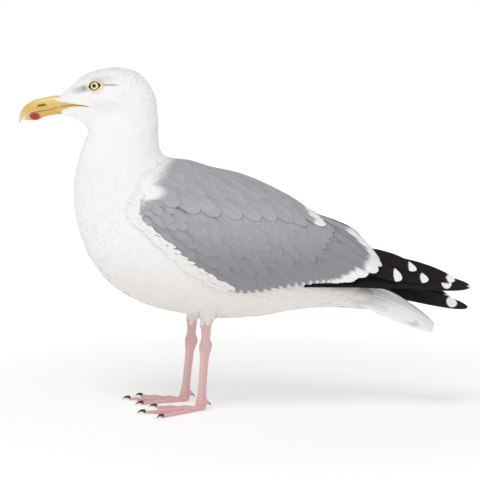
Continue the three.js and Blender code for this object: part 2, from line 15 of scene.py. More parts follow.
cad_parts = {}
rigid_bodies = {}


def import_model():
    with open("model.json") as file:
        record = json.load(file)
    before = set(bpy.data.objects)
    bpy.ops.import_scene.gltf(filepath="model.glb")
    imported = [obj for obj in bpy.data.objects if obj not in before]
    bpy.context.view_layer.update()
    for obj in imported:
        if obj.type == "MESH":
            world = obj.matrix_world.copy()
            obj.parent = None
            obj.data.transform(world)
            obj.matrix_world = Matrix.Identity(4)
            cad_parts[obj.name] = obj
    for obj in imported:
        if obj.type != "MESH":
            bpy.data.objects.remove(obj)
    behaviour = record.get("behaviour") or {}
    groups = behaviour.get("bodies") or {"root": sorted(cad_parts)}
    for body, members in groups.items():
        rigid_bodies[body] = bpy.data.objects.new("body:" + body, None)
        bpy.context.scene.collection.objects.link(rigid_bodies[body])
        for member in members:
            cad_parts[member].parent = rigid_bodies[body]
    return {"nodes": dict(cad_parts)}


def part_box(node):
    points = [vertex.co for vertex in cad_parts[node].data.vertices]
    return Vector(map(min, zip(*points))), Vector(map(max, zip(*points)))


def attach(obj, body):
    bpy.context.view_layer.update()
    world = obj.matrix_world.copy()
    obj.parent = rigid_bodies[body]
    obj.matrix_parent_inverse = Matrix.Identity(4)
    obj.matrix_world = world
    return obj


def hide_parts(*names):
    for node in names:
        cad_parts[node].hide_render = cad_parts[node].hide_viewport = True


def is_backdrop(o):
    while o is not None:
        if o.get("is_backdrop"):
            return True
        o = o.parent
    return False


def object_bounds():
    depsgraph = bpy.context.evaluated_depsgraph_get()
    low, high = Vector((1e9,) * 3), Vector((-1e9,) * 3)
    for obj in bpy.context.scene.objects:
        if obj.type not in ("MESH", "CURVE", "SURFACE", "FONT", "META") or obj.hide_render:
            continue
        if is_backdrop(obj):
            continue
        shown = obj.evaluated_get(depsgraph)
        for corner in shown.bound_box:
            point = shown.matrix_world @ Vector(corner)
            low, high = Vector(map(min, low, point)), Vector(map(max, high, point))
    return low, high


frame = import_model()
cad_low, cad_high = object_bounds()
print("frame:", len(frame["nodes"]), "solids, size in mm", [round(v * 1000) for v in cad_high - cad_low])

# %% [markdown]
# ## Working in millimetres on a centred bird
# A bird is easier to think about in millimetres, with its middle at y = 0. The bill tells where the frame
# keeps that middle, so each mesh is made in bird millimetres and is carried over in one place.

# %% Units and the way back to the frame
MM = 0.001
LEFT = -1
RIGHT = 1
BILL_TIP_X = -268.9
bill_low, bill_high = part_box("bill_upper")
SHIFT = np.array([bill_low.x / MM - BILL_TIP_X, (bill_low.y + bill_high.y) / 2 / MM, 0.0])
rng = np.random.default_rng(7)
print("bird middle in the frame, mm:", SHIFT.round(2))


def to_frame(points):
    """Bird millimetres to frame metres."""
    return (np.asarray(points, float) + SHIFT) * MM


def unit(vectors):
    """Vectors of length 1."""
    return vectors / np.maximum(np.linalg.norm(vectors, axis=-1, keepdims=True), 1e-9)


def smooth(t):
    """0 to 1 with soft ends; values outside are held."""
    t = np.clip(t, 0.0, 1.0)
    return t * t * (3 - 2 * t)


def along(values, t):
    """Smooth value along equally spaced stations, t from 0 to 1 (Catmull-Rom)."""
    values = np.asarray(values, float)
    t = np.clip(np.asarray(t, float), 0, 1)
    last = len(values) - 1
    place = t * last
    i = np.minimum(last - 1, place.astype(int))
    f = place - i
    if values.ndim > 1:
        f = f[..., None]
    a = values[np.maximum(i - 1, 0)]
    b = values[i]
    c = values[i + 1]
    d = values[np.minimum(i + 2, last)]
    cubic = 3 * b - a - 3 * c + d
    return 0.5 * (2 * b + (c - a) * f + (2 * a - 5 * b + 4 * c - d) * f**2 + cubic * f**3)


# %% [markdown]
# ## Two small helpers
# Shaders and Geometry Nodes are both trees, so one function can add any node: its settings, then its
# inputs, where a socket is linked and anything else is set. Meshes are all made the same way too.

# %% Helpers for trees and meshes
def add(tree, kind, settings=None, inputs=None):
    """Adds one node. An input given a socket is linked, and any other value is set on the socket."""
    node = tree.nodes.new(kind)
    for name, value in (settings or {}).items():
        setattr(node, name, value)
    for key, value in (inputs or {}).items():
        if isinstance(value, bpy.types.NodeSocket):
            tree.links.new(value, node.inputs[key])
        else:
            node.inputs[key].default_value = value
    return node


def linear(hex_colour):
    """sRGB hex to the linear colour that a shader reads."""
    channels = [int(hex_colour[i : i + 2], 16) / 255 for i in (0, 2, 4)]
    return [c / 12.92 if c <= 0.04045 else ((c + 0.055) / 1.055) ** 2.4 for c in channels] + [1.0]


def make_piece(name, points, faces, materials, attributes=None, smooth_faces=True):
    """A mesh object from bird millimetres, with its place in its mesh and named values on its points."""
    mesh = bpy.data.meshes.new(name)
    mesh.from_pydata(to_frame(points).tolist(), [], [list(map(int, f)) for f in faces])
    for material in materials:
        mesh.materials.append(material)
    for key, values in (attributes or {}).items():
        values = np.asarray(values, np.float32)
        if values.ndim == 1:
            mesh.attributes.new(key, "FLOAT", "POINT").data.foreach_set("value", values)
        else:
            mesh.attributes.new(key, "FLOAT_VECTOR", "POINT").data.foreach_set("vector", values.ravel())
    if smooth_faces:
        mesh.shade_smooth()
    piece = bpy.data.objects.new(name, mesh)
    bpy.context.scene.collection.objects.link(piece)
    return piece


def evaluated_mesh(piece):
    """The mesh that a piece's modifiers give, as a plain mesh."""
    bpy.context.view_layer.update()
    graph = bpy.context.evaluated_depsgraph_get()
    return bpy.data.meshes.new_from_object(piece.evaluated_get(graph))


def tube(rings, first=0):
    """Closed skin over rings of equal count, both ends closed by a fan: its points and faces."""
    rings = np.asarray(rings, float)
    count, sides = rings.shape[:2]
    points = np.concatenate([rings.reshape(-1, 3), [rings[0].mean(0), rings[-1].mean(0)]])
    faces = []
    for r in range(count - 1):
        for s in range(sides):
            a = r * sides + s
            b = r * sides + (s + 1) % sides
            faces.append((a, b, b + sides, a + sides))
    hubs = (count * sides, count * sides + 1)
    for s in range(sides):
        n = (s + 1) % sides
        faces.append((hubs[0], n, s))
        faces.append((hubs[1], (count - 1) * sides + s, (count - 1) * sides + n))
    a, b, c = (points[[f[k] for f in faces]] for k in (0, 1, 2))
    if np.einsum("ij,ij->i", a, np.cross(b, c)).sum() < 0:
        faces = [f[::-1] for f in faces]
    return points, [tuple(first + i for i in f) for f in faces]


def join_shells(shells):
    """Several (points, faces) as one."""
    points = []
    faces = []
    first = 0
    for more_points, more_faces in shells:
        points.append(more_points)
        faces += [tuple(first + i for i in f) for f in more_faces]
        first += len(more_points)
    return np.concatenate(points), faces


# %% [markdown]
# ## Camera, light and floor
# The bird is seen square from its left, a little from above, through a long lens that keeps its legs and
# tail in proportion. A broad soft light hangs high on the left in front, and a bright room fills the
# shadows, as plumage is nearly white and only soft light shows its form.

# %% Camera
AIM = np.array([-6.0, 0.0, 202.0])
CAMERA_DISTANCE = 2214.0
CAMERA_TILT = math.radians(6.4)
VIEW_WIDTH = 576.0  # width of the view at the bird
SENSOR = 36.0
toward = np.array([0.0, -math.cos(CAMERA_TILT), math.sin(CAMERA_TILT)])
lens = bpy.data.cameras.new("long_lens")
lens.sensor_width = SENSOR
lens.lens = SENSOR * CAMERA_DISTANCE / VIEW_WIDTH
camera = bpy.data.objects.new("long_lens", lens)
camera.location = to_frame(AIM + toward * CAMERA_DISTANCE)
camera.rotation_euler = (math.pi / 2 - CAMERA_TILT, 0, 0)
bpy.context.scene.collection.objects.link(camera)
bpy.context.scene.camera = camera
bpy.context.scene.view_settings.view_transform = "Standard"
print("lens mm:", round(lens.lens, 1))

# %% Light and floor
ROOM_LIGHT = 0.58
KEY_POWER = 19.0
key = bpy.data.lights.new("softbox", "AREA")
key.shape = "DISK"
key.size = 1.3
key.energy = KEY_POWER
softbox = bpy.data.objects.new("softbox", key)
softbox.location = (-0.65, -1.2, 2.6)
softbox.rotation_euler = (Vector((0, 0, 0.2)) - softbox.location).to_track_quat("-Z", "Y").to_euler()
bpy.context.scene.collection.objects.link(softbox)

FILL_POWER = 9.0
fill = bpy.data.lights.new("side_fill", "AREA")
fill.shape = "DISK"
fill.size = 1.6
fill.energy = FILL_POWER
fill_light = bpy.data.objects.new("side_fill", fill)
fill_light.location = (0.3, -3.0, 1.1)
fill_light.rotation_euler = (Vector((0.1, 0, 0.2)) - fill_light.location).to_track_quat("-Z", "Y").to_euler()
bpy.context.scene.collection.objects.link(fill_light)

world = bpy.data.worlds.new("bright_room")
bpy.context.scene.world = world
world.use_nodes = True
world.node_tree.nodes.clear()
seen = add(world.node_tree, "ShaderNodeLightPath")
level = add(world.node_tree, "ShaderNodeMapRange", None,
            {"Value": seen.outputs["Is Camera Ray"], "To Min": ROOM_LIGHT, "To Max": 1.0})
room = add(world.node_tree, "ShaderNodeBackground", None,
           {"Color": (1, 1, 1, 1), "Strength": level.outputs["Result"]})
add(world.node_tree, "ShaderNodeOutputWorld", None, {"Surface": room.outputs[0]})

floor_paint = bpy.data.materials.new("matt_white_studio_floor")
floor_paint.use_nodes = True
floor_tree = floor_paint.node_tree
floor_tree.nodes.clear()
speckle = add(floor_tree, "ShaderNodeTexNoise", None, {"Scale": 3.0, "Detail": 2.0})
shade = add(floor_tree, "ShaderNodeMix", {"data_type": "RGBA"},
            {0: speckle.outputs[0], 6: linear("EDEDED"), 7: linear("EFEFEE")})
from_bird = add(floor_tree, "ShaderNodeVectorMath", {"operation": "LENGTH"},
                {0: add(floor_tree, "ShaderNodeTexCoord").outputs["Object"]})
glow = add(floor_tree, "ShaderNodeMapRange", {"interpolation_type": "SMOOTHSTEP"},
           {"Value": from_bird.outputs["Value"], "From Min": 0.2, "From Max": 1.1, "To Min": 0.27, "To Max": 0.6})
paint = add(floor_tree, "ShaderNodeBsdfPrincipled", None,
            {"Base Color": shade.outputs[2], "Roughness": 0.95, "Specular IOR Level": 0.1,
             "Emission Color": (1, 1, 1, 1), "Emission Strength": glow.outputs[0]})
add(floor_tree, "ShaderNodeOutputMaterial", None, {"Surface": paint.outputs[0]})
FLOOR_HALF = 9000.0
corners = [[-1, -1, 0], [1, -1, 0], [1, 1, 0], [-1, 1, 0]]
floor = make_piece("studio_floor", np.array(corners) * FLOOR_HALF, [(0, 1, 2, 3)], [floor_paint], None, False)
floor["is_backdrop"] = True

# %% [markdown]
# ## Plumage as a material
# White contour feathers are keratin barbs full of air: matt, a little translucent, never one flat white.
# Their markings are drawn by where a point lies on the bird, and skin and coat share this one recipe, so a
# gap between feathers never shows another colour: a grey smudge before the eye and a thin line behind it.

# %% Markings shared by skin and coat
EYE = np.array([-175.6, 22.6, 386.5])
WHITE = "F8F7F7"
# Painted shade: a darker, warmer white for the underside, which lies in shade.
BELLY_PAINTED_SHADE = "E5DFD9"
SMUDGE_GREY = "8C8685"
LINE_GREY = "B0ACAA"
FRONT_AT = (-92.0, 0.0, 290.0)  # a place on the line where the neck's white turns to the back's grey
FRONT_SLANT = (0.82, -0.57)  # how that line leans, seen from the side
WEDGE_AT = (-124.0, 58.0, 265.0)
WEDGE_SIZE = (37.0, 45.0, 13.5)


def spot(tree, where, centre, radii, soft=0.6):
    """1 inside an ellipsoid given in bird millimetres, 0 outside, with a soft edge."""
    scale = [1 / (r * MM) for r in radii]
    middle = to_frame(centre)
    moved = add(tree, "ShaderNodeVectorMath", {"operation": "SUBTRACT"}, {0: where, 1: list(middle)})
    sized = add(tree, "ShaderNodeVectorMath", {"operation": "MULTIPLY"}, {0: moved.outputs[0], 1: scale})
    far = add(tree, "ShaderNodeVectorMath", {"operation": "LENGTH"}, {0: sized.outputs[0]})
    mask = add(tree, "ShaderNodeMapRange", {"interpolation_type": "SMOOTHSTEP"},
               {"Value": far.outputs["Value"], "From Min": 1 - soft, "From Max": 1.0, "To Min": 1.0, "To Max": 0.0})
    return mask.outputs["Result"]


def tinted(tree, mask, under, over, strength=1.0):
    """`over` laid on `under` where the mask is 1."""
    if strength < 1.0:
        mask = add(tree, "ShaderNodeMath", {"operation": "MULTIPLY"}, {0: mask, 1: strength}).outputs[0]
    return add(tree, "ShaderNodeMix", {"data_type": "RGBA"}, {0: mask, 6: under, 7: over}).outputs[2]


def plumage_colour(tree):
    """White, turning darker and warmer towards the bottom as painted shade, with the smudge before the eye and the
    line behind it.
    """
    where = add(tree, "ShaderNodeTexCoord").outputs["Object"]
    height = add(tree, "ShaderNodeSeparateXYZ", None, {0: where}).outputs["Z"]
    # Painted shade: the plumage turns darker and warmer towards the bottom of the body.
    low = add(tree, "ShaderNodeMapRange", {"interpolation_type": "SMOOTHSTEP"},
              {"Value": height, "From Min": 105 * MM, "From Max": 215 * MM, "To Min": 1.0, "To Max": 0.0})
    colour = tinted(tree, low.outputs[0], linear(WHITE), linear(BELLY_PAINTED_SHADE))
    for side in (LEFT, RIGHT):
        before = (EYE[0] - 13.5, EYE[1] * side * 0.9, EYE[2] - 2.5)
        lores = (EYE[0] - 22, EYE[1] * side * 0.8, EYE[2] - 5)
        behind = (EYE[0] + 16.0, EYE[1] * side * 1.12, EYE[2] + 1.6)
        over_eye = (EYE[0] + 6, EYE[1] * side, EYE[2] + 8.5)
        cheek = (EYE[0] + 14, EYE[1] * side, EYE[2] - 24)
        colour = tinted(tree, spot(tree, where, cheek, (34, 20, 13), 0.95), colour, linear("DFDEDF"), 0.8)
        colour = tinted(tree, spot(tree, where, over_eye, (26, 12, 7), 0.95), colour, linear("D9D6D5"), 0.75)
        colour = tinted(tree, spot(tree, where, lores, (17, 14, 6), 0.95), colour, linear(LINE_GREY), 0.75)
        colour = tinted(tree, spot(tree, where, before, (10, 12, 6), 0.9), colour, linear(SMUDGE_GREY), 0.95)
        colour = tinted(tree, spot(tree, where, behind, (17, 10, 2.3), 0.85), colour, linear(SMUDGE_GREY), 0.85)
    return colour, where


def shoulder_white(tree, where):
    """1 where the wing's front is white: a soft slanting front, and the wedge under the scapulars."""
    across = add(tree, "ShaderNodeVectorMath", {"operation": "DOT_PRODUCT"},
                 {0: where, 1: [FRONT_SLANT[0], 0.0, FRONT_SLANT[1]]}).outputs["Value"]
    fine = add(tree, "ShaderNodeTexNoise", None, {"Vector": where, "Scale": 1 / (5 * MM), "Detail": 3.0}).outputs[0]
    ragged = add(tree, "ShaderNodeMath", {"operation": "MULTIPLY_ADD"}, {0: fine, 1: 9 * MM, 2: across}).outputs[0]
    edge = FRONT_SLANT[0] * to_frame(FRONT_AT)[0] + FRONT_SLANT[1] * to_frame(FRONT_AT)[2]
    mask = add(tree, "ShaderNodeMapRange", {"interpolation_type": "SMOOTHSTEP"},
               {"Value": ragged, "From Min": edge - 4 * MM, "From Max": edge + 11 * MM,
                "To Min": 1.0, "To Max": 0.0}).outputs["Result"]
    for side in (LEFT, RIGHT):
        centre = (WEDGE_AT[0], WEDGE_AT[1] * side, WEDGE_AT[2])
        wedge = spot(tree, where, centre, WEDGE_SIZE, 0.4)
        mask = add(tree, "ShaderNodeMath", {"operation": "MAXIMUM"}, {0: mask, 1: wedge}).outputs[0]
    return mask


def material(name):
    """An empty material with its output: the tree and the output's surface socket."""
    finish = bpy.data.materials.new(name)
    finish.use_nodes = True
    finish.node_tree.nodes.clear()
    out = add(finish.node_tree, "ShaderNodeOutputMaterial")
    return finish, finish.node_tree, out


def surface(tree, out, colour, roughness, bump=None, strength=0.3, distance=0.0004, **constants):
    """The shader itself. Constants are set straight on its sockets."""
    shader = add(tree, "ShaderNodeBsdfPrincipled", None, {"Base Color": colour, "Roughness": roughness})
    for key_name, value in constants.items():
        shader.inputs[key_name.replace("_", " ")].default_value = value
    if bump is not None:
        raised = add(tree, "ShaderNodeBump", None, {"Strength": strength, "Distance": distance, "Height": bump})
        tree.links.new(raised.outputs[0], shader.inputs["Normal"])
    tree.links.new(shader.outputs[0], out.inputs["Surface"])
    return shader


# %% White feathers and the downy skin under them
BARB_PITCH = 0.9 * MM  # real barbs lie 0.4 mm apart: drawn coarser so that they show
down_skin, tree, out = material("downy_skin_under_white_plumage")
base, where = plumage_colour(tree)
fluff = add(tree, "ShaderNodeTexNoise", None, {"Vector": where, "Scale": 1 / (2.5 * MM), "Detail": 3.0})
dusk = tinted(tree, fluff.outputs[0], base, linear("DAD8D6"), 0.4)
surface(tree, out, dusk, 0.9, fluff.outputs[0], 0.5, Specular_IOR_Level=0.15)

white_coat, tree, out = material("white_contour_feathers")
base, where = plumage_colour(tree)
vane = add(tree, "ShaderNodeAttribute", {"attribute_name": "vane"})
tint = add(tree, "ShaderNodeAttribute", {"attribute_name": "tint"})
down_vane = add(tree, "ShaderNodeSeparateXYZ", None, {0: vane.outputs["Vector"]})
root_shade = add(tree, "ShaderNodeMapRange", None,
                 {"Value": down_vane.outputs["Y"], "From Min": 0.35, "From Max": 0.95, "To Min": 1.0, "To Max": 0.0})
base = tinted(tree, root_shade.outputs[0], base, linear("E6E4E3"), 0.25)
base = tinted(tree, tint.outputs["Fac"], base, linear("E9E7E5"), 0.3)
barbs = add(tree, "ShaderNodeTexWave", {"bands_direction": "X"},
            {"Vector": vane.outputs["Vector"], "Scale": 2.2, "Distortion": 1.5, "Detail": 1.0})
surface(tree, out, base, 0.85, barbs.outputs[0], 0.25, 0.0002, Specular_IOR_Level=0.15, Sheen_Weight=0.15)

# %% [markdown]
# ## The body's outline as rings
# Neck, breast and belly are one sweep. Each ring crosses the bird from a point on its back to a point on its
# belly, so the rings fan round the bend of the neck. The skin lies a few millimetres inside this outline,
# and the feathers fill the space between, as on the living bird.

# %% Rings of the body: back x z, belly x z, half width
BODY = np.array([
    [-222, 374, -217, 350, 8], [-208, 386, -207, 347, 16], [-192, 399.5, -197, 342.5, 23],
    [-173, 407, -189.5, 336, 27.5], [-150, 409.5, -187.5, 330.5, 30], [-126, 403, -190.5, 324, 32],
    [-108, 381, -195, 314, 34], [-102, 351, -200.5, 298, 37], [-101.5, 327, -205.5, 277, 42],
    [-96, 307, -207, 251, 50], [-74, 297.5, -202, 217, 59], [-42, 286, -188, 180, 65],
    [-6, 272, -163, 148, 67], [24, 255, -127, 126, 65], [48, 232, -85, 114, 60], [72, 208, -38, 106.5, 51],
    [94, 184, 14, 109, 40], [116, 162, 60, 117, 29], [134, 153, 100, 119.5, 23], [149, 146, 134, 117.5, 20],
])
FULLNESS = 2.15  # 2 would be an ellipse, more is squarer


def rounded(v):
    """Cosine or sine of a slightly squarer ring."""
    return np.sign(v) * np.abs(v) ** (2 / FULLNESS)


def ring_place(rings, t, angle, grow=0.0):
    """Point at t along the rings and at an angle from the back, pushed out by `grow`."""
    row = along(rings, t)
    back = row[..., 0:2]
    belly = row[..., 2:4]
    centre = (back + belly) / 2
    rise = np.linalg.norm(back - centre, axis=-1)
    up = unit(back - centre)
    flat = centre + up * (rounded(np.cos(angle)) * (rise + grow))[..., None]
    wide = rounded(np.sin(angle)) * (row[..., 4] + grow)
    return np.stack([flat[..., 0], wide, flat[..., 1]], -1)


SKIN_RINGS = 150
SKIN_SIDES = 88
COAT_DEPTH = [1.0, 1.2, 1.5, 1.6, 1.8, 2.0, 2.2, 2.4, 2.6, 2.8, 3, 3, 3, 3, 3, 3, 3, 2.8, 2.4, 2.2]


def body_grid(rings, sides, low=0.0, high=1.0):
    """Points, t and angle of the skin on a grid."""
    t, angle = np.meshgrid(np.linspace(low, high, rings), np.linspace(0, 2 * math.pi, sides, False), indexing="ij")
    return ring_place(BODY, t, angle, -along(COAT_DEPTH, t)), t, angle


skin_rings, _, _ = body_grid(SKIN_RINGS, SKIN_SIDES)
body_shell = tube(skin_rings)
print("body skin:", len(body_shell[0]), "points")

# %% [markdown]
# ## Legs and feet
# A gull's legs are bare from just above the ankle joint. Shank, toes and webs are made as simple shells that
# run into each other. A voxel remesh then melts them into one skin with soft creases, which no amount of
# careful modelling at the joints would give as easily, and a boolean joins that skin to the body's.

# %% Shells of the legs
LEGS = {
    "left": {"side": LEFT, "hip": (-44, 27, 132), "ankle": (-47.5, 27, 77), "foot": (-52.5, 27, 8),
             "toes": {2: (-13, 56), 3: (17, 70), 4: (46, 64)}},
    "right": {"side": RIGHT, "hip": (-60, 27, 132), "ankle": (-66, 27, 75), "foot": (-73.5, 27, 8),
              "toes": {2: (-24, 56), 3: (7, 69), 4: (25, 60)}},
}
THIGH_END = 15  # the thigh's flesh ends this far above the ankle's middle
CUFF = 28  # the feathers stop this far above it
TOE_ROOT_RADIUS = 4.2
TOE_TIP_RADIUS = 2.7
WEB_THICKNESS = 1.4


def mixed(a, b, t):
    return a + (b - a) * t


def limb_rings(stations, sides, steps):
    """Rings of a limb through stations x, y, z, half length, half width."""
    row = along(stations, np.linspace(0, 1, steps))
    angle = np.linspace(0, 2 * math.pi, sides, False)
    x = row[:, 0:1] + row[:, 3:4] * np.cos(angle)
    y = row[:, 1:2] + row[:, 4:5] * np.sin(angle)
    return np.stack([x, y, np.repeat(row[:, 2:3], sides, 1)], -1)


def thigh_stations(leg, thinner=0.0):
    hx, hy, hz = leg["hip"]
    ax, ay, az = leg["ankle"]
    y = hy * leg["side"]
    end = az + THIGH_END
    return np.array([
        [hx + 3, y, hz + 6, 21 - thinner, 16 - thinner],
        [mixed(hx, ax, 0.35) + 1, y, mixed(hz, end, 0.4), 12.5 - thinner, 11 - thinner],
        [mixed(hx, ax, 0.7), y, mixed(hz, end, 0.75), 7.8 - thinner * 0.6, 7 - thinner * 0.6],
        [ax + 1, y, end - 2, 5.5, 4.9],
    ])


def shank_stations(leg):
    ax, ay, az = leg["ankle"]
    fx, fy, fz = leg["foot"]
    y = ay * leg["side"]
    rows = [[ax + 1, y, az + THIGH_END + 4, 5.2, 4.6], [ax + 0.5, y, az + 9, 5.6, 5], [ax + 0.5, y, az + 2, 7.8, 6],
            [ax, y, az - 4, 7.2, 5.8]]
    for t, deep, wide in ((0.2, 5.4, 4.2), (0.5, 5, 3.6), (0.8, 5, 3.8), (0.95, 6.2, 5), (1, 6.6, 6)):
        rows.append([mixed(ax, fx, t), y, mixed(az, fz, t), deep, wide])
    rows += [[fx - 1, y, 3, 6.4, 6.0], [fx - 1, y, 0.8, 5.6, 5.6]]
    return np.array(rows)


def toe_ahead(side, turn):
    turn = math.radians(turn)
    return np.array([-math.cos(turn), side * math.sin(turn), 0.0])


def toe_root(leg):
    return np.array([leg["foot"][0] - 1, leg["foot"][1] * leg["side"], 0.0])


def toe_shell(leg, turn, length):
    """A tapering bar with a flat sole and a swelling at each joint."""
    ahead = toe_ahead(leg["side"], turn)
    aside = np.array([-ahead[1], ahead[0], 0.0])
    rings = []
    for t in np.linspace(0, 1, 26):
        swell = 1 + 0.09 * math.cos(6 * math.pi * t)
        blunt = math.sqrt(max(0.05, 1 - max(0.0, (t - 0.93) / 0.07) ** 2))
        radius = mixed(TOE_ROOT_RADIUS, TOE_TIP_RADIUS, t) * swell * blunt
        angle = np.linspace(0, 2 * math.pi, 14, False)
        height = np.maximum(0, radius * 0.78 * (1 + np.sin(angle)) - 0.9)
        ring = toe_root(leg) + ahead * length * t + aside * (radius * np.cos(angle))[:, None]
        ring[:, 2] = height
        rings.append(ring)
    return tube(rings)


def web_shell(leg, one, two):
    """A thin sheet between two toes, its front edge drawn in."""
    root = toe_root(leg)
    rings = []
    for reach in np.linspace(0.06, 0.93, 24):
        t = np.linspace(0, 1, 16)
        drawn = 1 - 0.17 * np.sin(math.pi * t) * smooth(reach)
        length = mixed(one[1], two[1], t) * reach * drawn
        turn = mixed(one[0], two[0], t)
        top = np.array([root + toe_ahead(leg["side"], a) * d for a, d in zip(turn, length)])
        sag = WEB_THICKNESS * (1 - 0.12 * np.sin(math.pi * t))
        under = top.copy()
        top[:, 2] = sag
        under[:, 2] = 0.0
        rings.append(np.concatenate([top, under[::-1]]))
    return tube(rings)


def hind_toe_shell(leg):
    fx, fy, fz = leg["foot"]
    y = fy * leg["side"]
    rows = np.array([[fx + 1, y, fz + 9, 3, 2.4], [fx + 5, y, fz + 4.5, 2.9, 2.4], [fx + 8, y, fz + 1, 2.2, 2],
                     [fx + 9, y, fz - 0.2, 1.5, 1.5]])
    return tube(limb_rings(rows, 12, 14))


VOXEL = 0.8 * MM
leg_skins = []
for name, leg in LEGS.items():
    toes = leg["toes"]
    shells = [tube(limb_rings(thigh_stations(leg, 2.0), 40, 30)), tube(limb_rings(shank_stations(leg), 32, 60))]
    shells += [toe_shell(leg, *toes[n]) for n in (2, 3, 4)]
    shells += [web_shell(leg, toes[2], toes[3]), web_shell(leg, toes[3], toes[4]), hind_toe_shell(leg)]
    lump = make_piece("leg_lump", *join_shells(shells), [])
    melt = lump.modifiers.new("melt", "REMESH")
    melt.mode = "VOXEL"
    melt.voxel_size = VOXEL
    soften = lump.modifiers.new("soften", "SMOOTH")
    soften.factor = 0.5
    soften.iterations = 2
    leg_skins.append(evaluated_mesh(lump))
    bpy.data.objects.remove(lump)
    print(name, "leg skin:", len(leg_skins[-1].vertices), "points")

# %% Join legs and body into one skin
body_object = make_piece("skin", *body_shell, [])
for number, leg_mesh in enumerate(leg_skins):
    leg_object = bpy.data.objects.new("leg_%d" % number, leg_mesh)
    bpy.context.scene.collection.objects.link(leg_object)
    union = body_object.modifiers.new("join_%d" % number, "BOOLEAN")
    union.operation = "UNION"
    union.solver = "EXACT"
    union.object = leg_object
joined = evaluated_mesh(body_object)
for leg_object in [o for o in bpy.data.objects if o.name.startswith("leg_")]:
    bpy.data.objects.remove(leg_object)
body_object.modifiers.clear()
body_object.data = joined
skin = body_object
print("skin: %d triangles" % sum(len(f.vertices) - 2 for f in joined.polygons))

# %% [markdown]
# ## Scales on the legs
# A gull's shank is faced with broad scutes, like overlapping nails, and its toes with narrower ones, while
# the webs and the back of the shank have a fine net of tiny scales. The scutes are raised in the mesh itself.
# Each point also keeps how far along its limb it lies, so that the material can draw the creases between and darken
# them as painted shade.

# %% Raise the scutes and note where the bare skin is
SHANK_SCUTE = 3.9
TOE_SCUTE = 2.6
SCUTE_RISE = 0.28
count = len(joined.vertices)
flat = np.zeros(count * 3, np.float32)
joined.vertices.foreach_get("co", flat)
skin_points = flat.reshape(-1, 3) / MM - SHIFT
joined.vertex_normals.foreach_get("vector", flat)
skin_normals = flat.reshape(-1, 3).copy()
scute = np.zeros(count)
scaled = np.zeros(count)
bare = np.zeros(count)
for leg in LEGS.values():
    ankle_z = leg["ankle"][2]
    near = np.abs(skin_points[:, 1] - leg["foot"][1] * leg["side"]) < 62
    near &= (skin_points[:, 1] * leg["side"]) > 0
    edge_wave = 2.0 * np.sin(skin_points[:, 1] * 1.1) + 1.5 * np.sin(skin_points[:, 0] * 1.3)
    bare[near & (skin_points[:, 2] < ankle_z + CUFF + edge_wave)] = 1
    centre = along(shank_stations(leg)[:, :3], np.linspace(0, 1, 60))
    tree_of_centres = KDTree(len(centre))
    for i, place in enumerate(centre):
        tree_of_centres.insert(place, i)
    tree_of_centres.balance()
    root = toe_root(leg)
    for i in np.flatnonzero(near & (bare > 0)):
        place = skin_points[i]
        if place[2] > 9.5:
            axis = centre[tree_of_centres.find(place)[1]]
            front = (axis[0] - place[0]) / 6.0
            scute[i] = place[2] / SHANK_SCUTE
            scaled[i] = smooth(front * 1.6 + 0.35) * smooth((ankle_z - 2 - place[2]) / 8)
            continue
        away = place - root
        for turn, length in leg["toes"].values():
            ahead = toe_ahead(leg["side"], turn)
            aside = abs(away[0] * ahead[1] - away[1] * ahead[0])
            reach = away[:2] @ ahead[:2]
            if aside < 3.6 and reach > 3:
                scute[i] = reach / TOE_SCUTE
                scaled[i] = smooth((place[2] - 1.6) / 1.5) * smooth((3.9 - aside) / 1.2)
wave = scute % 1.0
profile = np.minimum(wave / 0.25, (1 - wave) / 0.75 * 1.0)
skin_points = skin_points + skin_normals * (scaled * profile * SCUTE_RISE)[:, None]
joined.vertices.foreach_set("co", to_frame(skin_points).astype(np.float32).ravel())
for key_name, values in (("scute", scute), ("scaled", scaled)):
    joined.attributes.new(key_name, "FLOAT", "POINT").data.foreach_set("value", values.astype(np.float32))
joined.shade_smooth()
print("scaled points:", int((scaled > 0.5).sum()))

# %% Bare pink skin
leg_skin, tree, out = material("scaled_pink_leg_skin")
where = add(tree, "ShaderNodeTexCoord").outputs["Object"]
blotch = add(tree, "ShaderNodeTexNoise", None, {"Vector": where, "Scale": 1 / (14 * MM), "Detail": 4.0})
net = add(tree, "ShaderNodeTexVoronoi", {"feature": "DISTANCE_TO_EDGE"}, {"Vector": where, "Scale": 1 / (1.7 * MM)})
step_at = add(tree, "ShaderNodeAttribute", {"attribute_name": "scute"}).outputs["Fac"]
on_scute = add(tree, "ShaderNodeAttribute", {"attribute_name": "scaled"}).outputs["Fac"]
fraction = add(tree, "ShaderNodeMath", {"operation": "FRACT"}, {0: step_at})
crease = add(tree, "ShaderNodeMapRange", {"interpolation_type": "SMOOTHSTEP"},
             {"Value": fraction.outputs[0], "From Min": 0.0, "From Max": 0.3})
net_height = add(tree, "ShaderNodeMapRange", None, {"Value": net.outputs["Distance"], "From Max": 0.12})
relief = add(tree, "ShaderNodeMix", {"data_type": "FLOAT"},
             {0: on_scute, 2: net_height.outputs[0], 3: crease.outputs[0]}).outputs[0]
height = add(tree, "ShaderNodeSeparateXYZ", None, {0: where}).outputs["Z"]
pink = tinted(tree, blotch.outputs[0], linear("EDBDC0"), linear("E2ABB0"))
foot_level = add(tree, "ShaderNodeMapRange", None,
                 {"Value": height, "From Min": 4 * MM, "From Max": 34 * MM, "To Min": 1.0, "To Max": 0.0})
pink = tinted(tree, foot_level.outputs[0], linear("E6C3C2"), pink, 0.8)
pale = tinted(tree, on_scute, pink, linear("EAC9BD"), 0.5)
# Painted shade: the creases between scutes and the lines of the fine net are darkened.
crease_shade = add(tree, "ShaderNodeMath", {"operation": "SUBTRACT"}, {0: 1.0, 1: relief}).outputs[0]
pale = tinted(tree, crease_shade, pale, linear("B4767E"), 0.4)
surface(tree, out, pale, 0.48, relief, 0.6, 0.0005, Subsurface_Weight=0.12, Subsurface_Scale=0.004)

